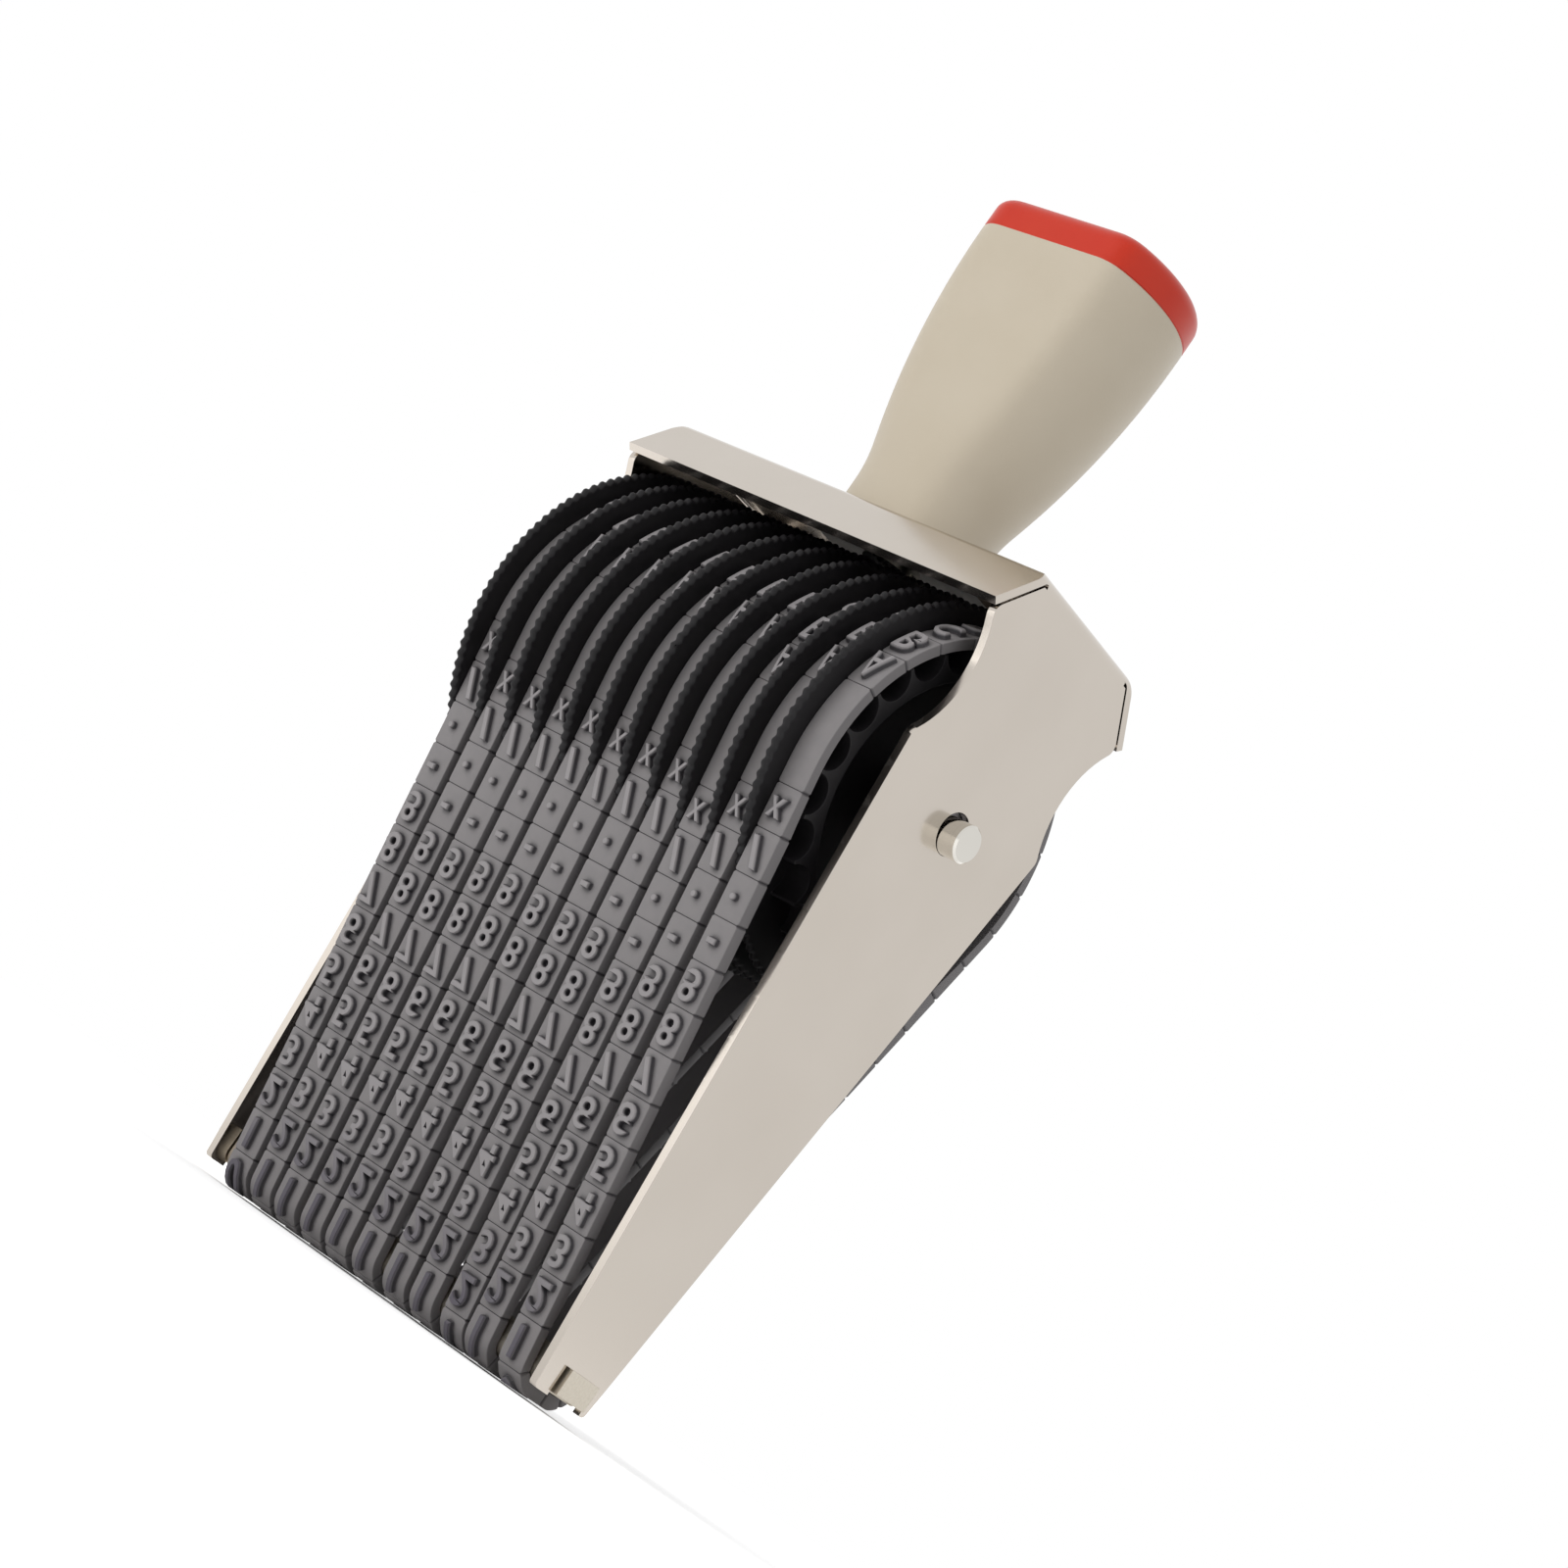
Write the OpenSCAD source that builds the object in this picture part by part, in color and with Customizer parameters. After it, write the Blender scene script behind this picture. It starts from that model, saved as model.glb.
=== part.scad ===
// Band numbering stamp: eleven rubber type bands, each driven by its own thumb wheel,
// run over a platen bar in a bent sheet frame with a flat-sided handle on top.
// Millimetres. X runs along the axle, Y from front to back, Z up.
// The origin lies under the middle of the printing face.

/* [Frame] */
// Thickness of the frame's sheet
sheet_t = 1; // [0.6:0.1:1.4]
// Depth of the flat top between its two lips
top_depth = 22.6; // [20:0.2:26]
// How far each lip reaches out from the top
lip_run = 5.6; // [4:0.1:7]
// How far each lip drops from the top
lip_drop = 6.6; // [5:0.1:7.5]
// Outer radius of the lips' bends
lip_bend_r = 2; // [1.6:0.1:3]
// Outer radius of the bends from the top to the side plates
side_bend_r = 1.7; // [1.6:0.1:3]
// Seam between a lip and the side plate under it
lip_seam = 0.3; // [0.1:0.05:0.5]
// Radius of the round waist in the plates' edges
waist_r = 12.5; // [11:0.1:14]
// Half depth of a side plate at its waist
waist_y = 12.9; // [11:0.1:14]
// Height of the top over the waist
waist_drop = 15.7; // [14:0.1:17]
// Half depth that a plate's straight edge would reach at the height of the waist
edge_y = 16.5; // [15:0.1:18]
// Radius on the plates' corners above and below the waist
corner_r = 1.4; // [0.5:0.1:2]
// Reach of a side plate's foot to the front, from under the axle
foot_front = 5.8; // [4:0.1:6.2]
// Reach of a side plate's foot to the back
foot_back = 4.1; // [4:0.1:5]
// Height of the feet over the printing face
foot_z = 1.55; // [0.8:0.05:2]
// Radius on the outer corners of the feet
foot_r = 0.6; // [0.2:0.1:0.7]

/* [Axle] */
// Radius of the axle
axle_r = 2.25; // [1.8:0.05:2.8]
// Height of the axle over the printing face
axle_z = 75.6; // [74:0.1:76]
// How far the axle stands out of each plate
axle_out = 2.7; // [1.5:0.1:4]
// Bevel on the axle's ends
axle_bevel = 0.25; // [0.1:0.05:0.5]
// Play of the axle in the plates' holes, on the radius
axle_slack = 0.35; // [0.1:0.05:0.6]
// Thickness of a retaining clip
clip_t = 0.7; // [0.5:0.05:0.9]
// Rim of a retaining clip around the axle
clip_rim = 1.75; // [1.2:0.05:2.5]
// Depth of the clips' grooves in the axle
groove_h = 0.4; // [0.2:0.05:0.6]
// Length of the spacer sleeve at the right end of the axle
sleeve_len = 1.55; // [0.8:0.05:3]
// Wall of the spacer sleeve
sleeve_wall = 1.9; // [1:0.1:2.5]

/* [Thumb wheels] */
// Distance from one wheel to the next
wheel_pitch = 4.95; // [4.4:0.05:6]
// Radius of a thumb rim over its teeth
rim_r = 24.6; // [23.5:0.1:25]
// Width of a thumb rim
rim_w = 1.05; // [0.8:0.05:1.4]
// Depth of the rim's teeth
tooth_h = 0.45; // [0.2:0.05:0.8]
// Number of teeth on a rim
tooth_n = 120; // [60:2:140]
// Radius of the ribbed drum that carries a band
drum_r = 20; // [19.2:0.1:20.8]
// Radius of the round pockets between the drum's ribs
pocket_r = 2.35; // [1.2:0.05:2.4]
// Number of pockets round a drum
pocket_n = 24; // [16:1:24]
// Wall of the drum under its pockets
drum_wall = 1.1; // [0.8:0.1:2]
// Wall of a wheel's hub
hub_wall = 2.25; // [1.5:0.05:4]

/* [Type bands] */
// Thickness of a band under its type
band_t = 1.3; // [0.7:0.05:1.6]
// Height of the type over the band
type_h = 0.5; // [0.3:0.05:0.6]
// Length of one type block along the band
type_len = 3.9; // [3:0.1:4.4]
// Margin beside a type block on its band
type_margin = 0.35; // [0.1:0.05:0.6]
// Depth of the cords that fix a band's length, from its inner face
cord_depth = 0.45; // [0:0.05:0.6]
// Cells round a band, each one character or a blank
cell_n = 43; // [42:1:44]

/* [Platen] */
// Depth of the platen bar from front to back
platen_w = 7.8; // [7:0.1:9]
// Height of the platen bar
platen_h = 4.3; // [4:0.1:6]
// Radius of the platen's lower edges
platen_r = 1.6; // [1.2:0.1:2.2]
// Depth of the lugs on the platen's ends
lug_w = 5.5; // [4:0.1:5.8]
// Height of the lugs
lug_h = 3.1; // [2:0.1:3.6]
// Step from the platen's lower face up to its lugs
lug_step = 0.2; // [0.1:0.1:1]
// How far the lugs stand out of the plates
lug_out = 0.7; // [0.3:0.1:2]

/* [Handle] */
// Radius of the handle's neck
neck_r = 9.2; // [8:0.1:10]
// Height of the straight part of the neck
neck_h = 3.2; // [1:0.1:8]
// Radius of the hollow above the neck
hollow_r = 20; // [8:1:30]
// Radius of the handle at its widest, under the cap
grip_r = 14; // [12:0.1:16]
// Height of the handle's body
body_h = 38; // [30:0.5:50]
// Half depth between the handle's flats under the cap
flat_top_y = 10; // [9:0.1:11]
// Half depth between the handle's flats at the neck
flat_neck_y = 7.9; // [7:0.1:8.6]
// Thickness of the cap
cap_h = 4.5; // [3.5:0.1:7]
// Radius on the cap's upper edge
cap_edge_r = 2; // [0.8:0.1:2.4]
// Radius of the plug under the cap
plug_r = 6; // [4:0.1:7]
// Length of the plug under the cap
plug_len = 6; // [3:0.5:12]

/* [Handle fixing] */
// Thickness of the fixing plate under the top
fix_t = 0.8; // [0.5:0.1:1]
// Width of the fixing plate along the axle
fix_w = 26; // [18:1:40]
// Length of the fixing plate's sloping lips
fix_lip = 4.2; // [2:0.1:5]
// Inner radius of the fixing plate's bends
fix_bend = 0.3; // [0.1:0.1:0.6]
// Radius of the handle's screw
screw_r = 2; // [1.5:0.1:2.5]
// Reach of the screw into the handle
screw_reach = 14; // [8:1:20]
// Radius of the screw's head
head_r = 3.6; // [3:0.1:5]
// Height of the screw's head
head_h = 1.4; // [1:0.1:1.6]
// Width of the slot across the screw's head
slot_w = 0.8; // [0.5:0.1:1.2]
// Depth of the slot across the screw's head
slot_h = 0.6; // [0.3:0.1:0.8]

/* [Clearances] */
// Running fit of a wheel on the axle, on the radius
bore_fit = 0.05; // [0.02:0.01:0.1]
// Room between a drum and the band round it
band_fit = 0.3; // [0.25:0.05:0.5]
// Room between a band and the rims beside it
band_side = 0.1; // [0.1:0.05:0.3]
// Room between the platen and the bands round it
platen_fit = 0.1; // [0.05:0.05:0.3]
// Room between one wheel's hub and the next wheel
hub_play = 0.1; // [0.05:0.05:0.2]
// How far a drum stops short of its hub's end
drum_play = 0.1; // [0.05:0.05:0.3]
// Room on each side of a retaining clip
clip_play = 0.15; // [0.1:0.05:0.3]
// Fit of still pieces on the axle, in grooves and in sockets
still_fit = 0.04; // [0.02:0.01:0.1]
// Room beside a lug in its notch
lug_fit = 0.45; // [0.1:0.05:0.5]
// Room between the platen's body and a side plate
platen_play = 0.2; // [0.1:0.05:0.5]
// Room between the fixing plate's lips and the frame's lips
fix_gap = 0.4; // [0.2:0.1:1]
// Room between the thumb rims and the head of the handle's screw
head_room = 0.7; // [0.3:0.1:4]
// Room around the screw in the sheets that it passes
screw_play = 0.2; // [0.1:0.05:0.5]

/* [Hidden] */
$fn = 96;
// Steps round the handle's long curves
long_fn = 720;
// Wheels on the axle, each with one band
wheel_n = 11;
// How far each band has been run on: way from the platen's front edge up to the band's figure 1
band_shift = [3.9, 0.6, 0.4, 0.7, 1, 0.5, 0.5, 0.5, -2.4, 0, 1.7];
// Turn of each wheel against the one before it
wheel_turn = 47;
// Figures and signs at the start of a band, the blank stretch after them and the letters after that, in cells
sign_n = 14;
blank_n = 2.5;
letter_n = cell_n - sign_n - ceil(blank_n);
// Depth that a type block reaches down into its band
type_root = 0.3;
// Points that a type block needs between its ends where its band bends
bend_steps = 4;
// Length by which a cut passes the faces that it opens
past = 1;
// How far a round passes a line or a round that it runs into, so that the two cross
tuck = 0.001;

// Places along the axle
end_gap = clip_t + 2 * clip_play;
inner_w = wheel_n * wheel_pitch + 2 * end_gap + sleeve_len;
frame_w = inner_w + 2 * sheet_t;
stack_x = end_gap - inner_w / 2;
sleeve_x = stack_x + wheel_n * wheel_pitch;
clip_x = inner_w / 2 - clip_play - clip_t;
hub_w = wheel_pitch - hub_play;
drum_w = hub_w - drum_play;
band_w = wheel_pitch - rim_w - 2 * band_side;
type_w = band_w - 2 * type_margin;

// Radii on the axle
groove_r = axle_r - groove_h;
clip_r = axle_r + clip_rim;
hub_r = axle_r + hub_wall;
hole_r = axle_r + axle_slack;
// The axle lies on the lower side of the plates' holes
hole_z = axle_z + axle_slack - still_fit;

// The flat top lies over the rims, the screw's head and the fixing plate
top_z = axle_z + rim_r + head_room + head_h + fix_t + sheet_t;
waist_z = top_z - waist_drop;

// The top's bends and slopes
slope = atan2(lip_drop, lip_run);
slope_dir = [cos(slope), -sin(slope)];
slope_out = [sin(slope), cos(slope)];
bend_y = top_depth / 2 - lip_bend_r * tan(slope / 2);
lip_len = norm([lip_run, lip_drop]) - lip_bend_r * tan(slope / 2);

// The side plates' edges under the lips and at the waist
lip_in_r = lip_bend_r - sheet_t - lip_seam;
bend_c = [bend_y, top_z - lip_bend_r];
slope_at = bend_c + lip_in_r * slope_out;
waist_c = [waist_y + waist_r, waist_z];

// The platen and its lugs
platen_z = band_t + type_h + platen_fit;
lug_z = platen_z + lug_step;

// The fixing plate under the top, and the screw's head under it
fix_bend_r = fix_bend + fix_t;
fix_top = top_z - sheet_t;
fix_spare = lip_bend_r - sheet_t - fix_bend_r;
fix_y = bend_y - (fix_gap - fix_spare * (1 - cos(slope))) / sin(slope);
head_top = fix_top - fix_t;

// A band's loop: inner radii at the drum and at the platen, tilt of its runs, lengths along its cords
loop_r = drum_r + band_fit;
turn_r = platen_r + platen_fit;
turn_c = [-(platen_w / 2 - platen_r), band_t + type_h + turn_r];
turn_y = -turn_c[0];
drum_c = [0, axle_z];
rise = axle_z - turn_c[1];
run_len = sqrt(rise * rise + turn_y * turn_y - pow(loop_r - turn_r, 2));
tilt = atan2(loop_r - turn_r, run_len) - atan2(turn_y, rise);
run_out = [-cos(tilt), -sin(tilt)];
run_dir = [-sin(tilt), cos(tilt)];
turn_len = (turn_r + cord_depth) * (90 - tilt) * PI / 180;
arc_len = (loop_r + cord_depth) * (90 + tilt) * PI / 180;
run_from = turn_y + turn_len;
run_to = run_from + run_len;
loop_len = 2 * (run_to + arc_len);
cell_len = loop_len / cell_n;

// The handle's outline: a straight neck, a hollow and a long swell that touch one another
body_top = top_z + body_h;
cap_top = body_top + cap_h;
neck_top = top_z + neck_h;
swell_rise = body_top - neck_top;
swell_in = neck_r + hollow_r - grip_r;
swell_r = (swell_in * swell_in + swell_rise * swell_rise - hollow_r * hollow_r) / (2 * (grip_r - neck_r));
swell_c = [grip_r - swell_r, body_top];
hollow_c = [neck_r + hollow_r, neck_top];
swell_at = hollow_c + hollow_r / (hollow_r + swell_r) * (swell_c - hollow_c);
flat_in = flat_top_y - flat_neck_y;
flat_r = (body_h * body_h + flat_in * flat_in) / (2 * flat_in);

// Centre of a round of radius r that touches a straight plate edge from inside and the waist from outside;
// the edge runs from p along d and faces out
function corner_c(p, d, out, r) =
    let (q = p - r * out - waist_c)
    let (ahead = -(q * d) - sqrt(pow(q * d, 2) - q * q + pow(waist_r + r, 2)))
    waist_c + q + ahead * d;

// Where that round touches the waist
function on_waist(c, r) = c + r / (waist_r + r) * (waist_c - c);

// Point of a band's front half, from the middle of the printing face forward and up to the drum's top:
// s is the way along the cords, h the height over the band's inner face
function half_loop(s, h) =
    s < turn_y ? [-s, turn_c[1] - turn_r - h]
    : s < run_from ? let (a = (s - turn_y) / (turn_r + cord_depth) * 180 / PI)
        turn_c - (turn_r + h) * [sin(a), cos(a)]
    : s < run_to ? turn_c + (turn_r + h) * run_out + (s - run_from) * run_dir
    : let (a = tilt - (s - run_to) / (loop_r + cord_depth) * 180 / PI)
        drum_c - (loop_r + h) * [cos(a), sin(a)];

// Point of the whole loop; its back half mirrors the front half
function loop_point(s, h) =
    let (u = s - loop_len * floor(s / loop_len))
    let (p = half_loop(min(u, loop_len - u), h))
    u < loop_len / 2 ? p : [-p[0], p[1]];

// A block on the straight front run needs no points between its ends
function block_steps(s) = s > run_from && s + type_len < run_to ? 1 : bend_steps;

// Stands an outline in Y and Z up along X
module along_x(x, w) {
    translate([x, 0, 0])
        rotate([90, 0, 90])
            linear_extrude(w)
                children();
}

// Lays an outline in X and Z out along Y, past the lips
module along_y() {
    rotate([90, 0, 0])
        linear_extrude(2 * (top_depth + lip_run), center = true)
            children();
}

module circle_at(c, r) {
    translate(c) circle(r);
}

module square_at(c, size) {
    translate(c) square(size);
}

// A plain ring on the axle
module ring_at(x, w, r_out, r_in) {
    along_x(x, w)
        translate([0, axle_z])
            difference() {
                circle(r_out);
                circle(r_in);
            }
}

// What rounding with radius r takes off the corner between a top face at height z and its slope
module bend_waste(y, z, r) {
    c = [y, z - r];
    tip = [y + r * tan(slope / 2), z];
    difference() {
        polygon([c, c + [0, 2 * r], 2 * tip - c, c + 2 * r * slope_out]);
        circle_at(c, r + tuck);
    }
}

// The area under a top face at height z with a bend of radius r at each side, drawn in Y and Z;
// the slopes reach len past the bends, and their ends are cut square over the depth d
module bridge_area(y, z, r, len, d) {
    tip = [y + r * tan(slope / 2), z];
    end = [y, z - r] + r * slope_out + len * slope_dir;
    inner = end - d * slope_out;
    difference() {
        polygon([
            tip, end, inner,
            [-inner[0], inner[1]], [-end[0], end[1]], [-tip[0], tip[1]]
        ]);
        bend_waste(y, z, r);
        mirror([1, 0]) bend_waste(y, z, r);
    }
}

// A sheet of thickness t folded down at both sides
module bridge(y, z, r, t, len) {
    difference() {
        bridge_area(y, z, r, len, 2 * t);
        bridge_area(y, z - t, r - t, len + 3 * t, 0);
    }
}

// Half the outline of a side plate with the flat of the top over it; its foot reaches foot_y to that side
module half_plate(foot_y) {
    foot_at = [foot_y, foot_z];
    edge_dir = ([edge_y, waist_z] - foot_at) / norm([edge_y, waist_z] - foot_at);
    edge_out = [edge_dir[1], -edge_dir[0]];
    foot_c = foot_at - foot_r * edge_out + foot_r * (1 + edge_out[1]) / edge_dir[1] * edge_dir;
    ear_c = corner_c(slope_at, slope_dir, slope_out, corner_r);
    hip_c = corner_c(foot_at, edge_dir, edge_out, corner_r);
    difference() {
        polygon([
            [0, top_z], [bend_y, top_z], [bend_y, slope_at[1]], slope_at,
            ear_c + corner_r * slope_out, on_waist(ear_c, corner_r),
            on_waist(hip_c, corner_r), hip_c + corner_r * edge_out,
            foot_c + foot_r * edge_out, foot_c - [0, foot_r], [0, foot_z]
        ]);
        circle_at(waist_c, waist_r);
    }
    circle_at(ear_c, corner_r + tuck);
    circle_at(hip_c, corner_r + tuck);
    circle_at(foot_c, foot_r + tuck);
}

// Both plates' outline with the axle's hole and the notch for the platen's lug
module plate() {
    difference() {
        union() {
            half_plate(foot_back);
            mirror([1, 0]) half_plate(foot_front);
        }
        circle_at([0, hole_z], hole_r);
        square_at([-lug_w / 2 - lug_fit, 0], [lug_w + 2 * lug_fit, lug_z + lug_h]);
    }
}

// An arch with rounded upper corners, drawn in X and Z
module arch(w, h, r) {
    square_at([-w / 2, 0], [w, h - r]);
    square_at([r - w / 2, 0], [w - 2 * r, h]);
    circle_at([r - w / 2, h - r], r);
    circle_at([w / 2 - r, h - r], r);
}

module frame() {
    color("silver")
        difference() {
            intersection() {
                along_y() arch(frame_w, top_z, side_bend_r);
                union() {
                    along_x(-frame_w / 2, frame_w)
                        bridge(bend_y, top_z, lip_bend_r, sheet_t, lip_len);
                    difference() {
                        along_x(-frame_w / 2, frame_w) plate();
                        along_y() arch(inner_w, top_z - sheet_t, side_bend_r - sheet_t);
                    }
                }
            }
            translate([0, 0, top_z - sheet_t - past])
                cylinder(h = sheet_t + 2 * past, r = screw_r + screw_play);
        }
}

module axle() {
    end = frame_w / 2 + axle_out;
    color("gainsboro")
        translate([0, 0, axle_z])
            rotate([0, 90, 0])
                rotate_extrude()
                    difference() {
                        polygon([
                            [0, -end], [axle_r - axle_bevel, -end], [axle_r, axle_bevel - end],
                            [axle_r, end - axle_bevel], [axle_r - axle_bevel, end], [0, end]
                        ]);
                        square_at([groove_r, clip_x - still_fit], [axle_r, clip_t + 2 * still_fit]);
                        square_at([groove_r, -clip_x - clip_t - still_fit], [axle_r, clip_t + 2 * still_fit]);
                    }
}

// A snap-on retaining clip, open downward
module clip(x) {
    color("gray")
        along_x(x, clip_t)
            translate([0, axle_z])
                difference() {
                    circle(clip_r);
                    circle(groove_r + still_fit);
                    square_at([-groove_r * cos(45), -2 * clip_r], [2 * groove_r * cos(45), 2 * clip_r]);
                }
}

module axle_sleeve() {
    color("darkgray")
        ring_at(sleeve_x, sleeve_len, axle_r + sleeve_wall, axle_r + still_fit);
}

module platen() {
    body_w = inner_w - 2 * platen_play;
    lugs_w = frame_w + 2 * lug_out;
    color("lightgray") {
        along_x(-body_w / 2, body_w) {
            square_at([-platen_w / 2, platen_z + platen_r], [platen_w, platen_h - platen_r]);
            square_at([-turn_y, platen_z], [2 * turn_y, platen_h]);
            circle_at([-turn_y, platen_z + platen_r], platen_r);
            circle_at([turn_y, platen_z + platen_r], platen_r);
        }
        along_x(-lugs_w / 2, lugs_w)
            square_at([-lug_w / 2, lug_z], [lug_w, lug_h]);
    }
}

// A thumb wheel: toothed rim on the left, ribbed drum open to the right, hub on the axle
module wheel(i) {
    color([0.12, 0.12, 0.13])
        translate([stack_x + i * wheel_pitch, 0, axle_z])
            rotate([i * wheel_turn, 0, 0])
                difference() {
                    union() {
                        along_x(0, rim_w) rim();
                        along_x(0, drum_w) drum();
                        along_x(0, hub_w) circle(hub_r);
                    }
                    along_x(-past, hub_w + 2 * past) circle(axle_r + bore_fit);
                }
}

// A thumb rim's outline, a tip and a root for each tooth
module rim() {
    polygon([
        for (k = [0:2 * tooth_n - 1])
            (rim_r - tooth_h * (k % 2)) * [cos(180 * k / tooth_n), sin(180 * k / tooth_n)]
    ]);
}

// A drum's outline, with ribs between its round pockets
module drum() {
    difference() {
        circle(drum_r);
        circle(drum_r - pocket_r - drum_wall);
        for (k = [0:pocket_n - 1])
            rotate(360 * k / pocket_n)
                circle_at([drum_r, 0], pocket_r);
    }
}

// The area inside a loop that lies h over a band's inner face
module loop_area(h) {
    low = turn_c + (turn_r + h) * run_out;
    high = drum_c + (loop_r + h) * run_out;
    circle_at(drum_c, loop_r + h + tuck);
    circle_at(turn_c, turn_r + h + tuck);
    circle_at([-turn_c[0], turn_c[1]], turn_r + h + tuck);
    polygon([
        turn_c - [0, turn_r + h], low, high,
        [-high[0], high[1]], [-low[0], low[1]], [turn_y, turn_c[1] - turn_r - h]
    ]);
}

// A type block whose middle lies s along the band
module type_block(s) {
    from = s - type_len / 2;
    n = block_steps(from);
    polygon([
        for (k = [0:n]) loop_point(from + type_len * k / n, band_t + type_h),
        for (k = [n:-1:0]) loop_point(from + type_len * k / n, band_t - type_root)
    ]);
}

// An endless rubber band with its raised type
module band(i) {
    x = stack_x + i * wheel_pitch + rim_w + band_side;
    color([0.5, 0.49, 0.52]) {
        along_x(x, band_w)
            difference() {
                loop_area(band_t);
                loop_area(0);
            }
        along_x(x + type_margin, type_w)
            for (k = [0:sign_n + letter_n - 1])
                type_block(run_from + band_shift[i] + (k - 1 + (k < sign_n ? 0 : blank_n)) * cell_len);
    }
}

// The handle's and the cap's two flats, drawn in Y and Z
module flats() {
    intersection() {
        circle_at([flat_top_y - flat_r, body_top], flat_r, $fn = long_fn);
        circle_at([flat_r - flat_top_y, body_top], flat_r, $fn = long_fn);
    }
}

module handle_body() {
    color("antiquewhite")
        difference() {
            intersection() {
                rotate_extrude() {
                    square_at([0, top_z], [neck_r, neck_h]);
                    difference() {
                        square_at([0, neck_top], [swell_at[0], swell_at[1] - neck_top]);
                        circle_at(hollow_c, hollow_r, $fn = long_fn);
                    }
                    intersection() {
                        circle_at(swell_c, swell_r + tuck, $fn = long_fn);
                        square_at([0, neck_top], [grip_r + past, swell_rise]);
                    }
                }
                along_x(-grip_r - past, 2 * (grip_r + past)) flats();
            }
            translate([0, 0, top_z - past])
                cylinder(h = screw_reach + 2 * past, r = screw_r + still_fit);
            translate([0, 0, body_top - plug_len - still_fit])
                cylinder(h = plug_len + past, r = plug_r + still_fit);
        }
}

// A slab with one rounded upper edge, drawn from the middle outward
module cap_edge(half) {
    square_at([0, body_top], [half, cap_h - cap_edge_r]);
    square_at([0, body_top], [half - cap_edge_r, cap_h]);
    circle_at([half - cap_edge_r, cap_top - cap_edge_r], cap_edge_r);
}

module handle_cap() {
    color("tomato") {
        intersection() {
            rotate_extrude() cap_edge(grip_r);
            along_x(-grip_r - past, 2 * (grip_r + past)) {
                cap_edge(flat_top_y);
                mirror([1, 0]) cap_edge(flat_top_y);
            }
        }
        translate([0, 0, body_top - plug_len])
            cylinder(h = plug_len + cap_h / 2, r = plug_r);
    }
}

// The folded plate under the top that the handle's screw pulls up
module handle_plate() {
    color("darkgray")
        difference() {
            along_x(-fix_w / 2, fix_w)
                bridge(fix_y, fix_top, fix_bend_r, fix_t, fix_lip);
            translate([0, 0, head_top - past])
                cylinder(h = fix_t + 2 * past, r = screw_r + screw_play);
        }
}

module handle_screw() {
    shank = fix_t + sheet_t + screw_reach;
    color("gainsboro")
        difference() {
            union() {
                translate([0, 0, head_top - head_h])
                    cylinder(h = head_h, r = head_r);
                translate([0, 0, head_top - head_h / 2])
                    cylinder(h = head_h / 2 + shank, r = screw_r);
            }
            translate([-head_r - past, -slot_w / 2, head_top - head_h - past])
                cube([2 * (head_r + past), slot_w, slot_h + past]);
        }
}

frame();
axle();
clip(-clip_x - clip_t);  // clip_left
clip(clip_x);  // clip_right
axle_sleeve();
platen();
wheel(0);  // wheel_01
wheel(1);  // wheel_02
wheel(2);  // wheel_03
wheel(3);  // wheel_04
wheel(4);  // wheel_05
wheel(5);  // wheel_06
wheel(6);  // wheel_07
wheel(7);  // wheel_08
wheel(8);  // wheel_09
wheel(9);  // wheel_10
wheel(10);  // wheel_11
band(0);  // band_01
band(1);  // band_02
band(2);  // band_03
band(3);  // band_04
band(4);  // band_05
band(5);  // band_06
band(6);  // band_07
band(7);  // band_08
band(8);  // band_09
band(9);  // band_10
band(10);  // band_11
handle_body();
handle_cap();
handle_plate();
handle_screw();
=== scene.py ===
# %% [markdown]
# # A band numbering stamp
#
# The real object is a desk stamp with eleven endless rubber bands. Each band carries raised figures, signs and
# letters, hangs over its own black thumb wheel, and runs round a bar at the foot, where one character of each
# band lies on the paper. A bent, nickel plated sheet holds it all, and a cream handle with a red cap stands on top.
#
# The CAD frame gives every piece its size and place. This lesson gives them their looks: it models what needs a
# finer form than the CAD has, and makes one material for each real material.

import math

import bmesh
import bpy
import numpy as np
from mathutils import Matrix, Vector


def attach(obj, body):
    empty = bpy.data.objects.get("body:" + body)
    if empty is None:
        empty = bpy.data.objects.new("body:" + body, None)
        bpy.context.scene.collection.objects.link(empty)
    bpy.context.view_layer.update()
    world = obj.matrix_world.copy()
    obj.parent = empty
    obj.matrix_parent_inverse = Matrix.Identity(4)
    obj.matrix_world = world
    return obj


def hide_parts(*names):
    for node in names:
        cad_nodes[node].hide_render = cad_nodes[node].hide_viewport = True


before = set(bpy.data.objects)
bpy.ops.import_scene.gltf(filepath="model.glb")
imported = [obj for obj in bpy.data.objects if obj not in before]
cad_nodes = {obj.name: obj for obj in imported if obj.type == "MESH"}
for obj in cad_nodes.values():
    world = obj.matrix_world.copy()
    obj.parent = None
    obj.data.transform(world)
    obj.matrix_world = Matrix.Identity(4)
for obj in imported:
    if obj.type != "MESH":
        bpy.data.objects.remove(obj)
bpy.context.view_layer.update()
MM = 0.001

# %% [markdown]
# ## Camera
#
# The photograph was taken from the front right, from the height of the stamp's foot and looking up a little, with the
# camera rolled so that the stamp leans. A camera could be turned by eye until the picture fits. Here its axes were
# solved from points of the photograph whose place on the object is known, which fits better. A camera looks along its
# own -Z with +Y up, so its matrix takes right, up and back as its columns.

# %% Camera
eye = Vector((267.09, -297.67, 5.17)) * MM
right = Vector((0.6803, 0.4701, 0.5623)).normalized()
ahead = Vector((-0.6505, 0.7407, 0.1678)).normalized()
up = right.cross(ahead).normalized()
turn = Matrix((right, up, -ahead)).transposed()

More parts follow.
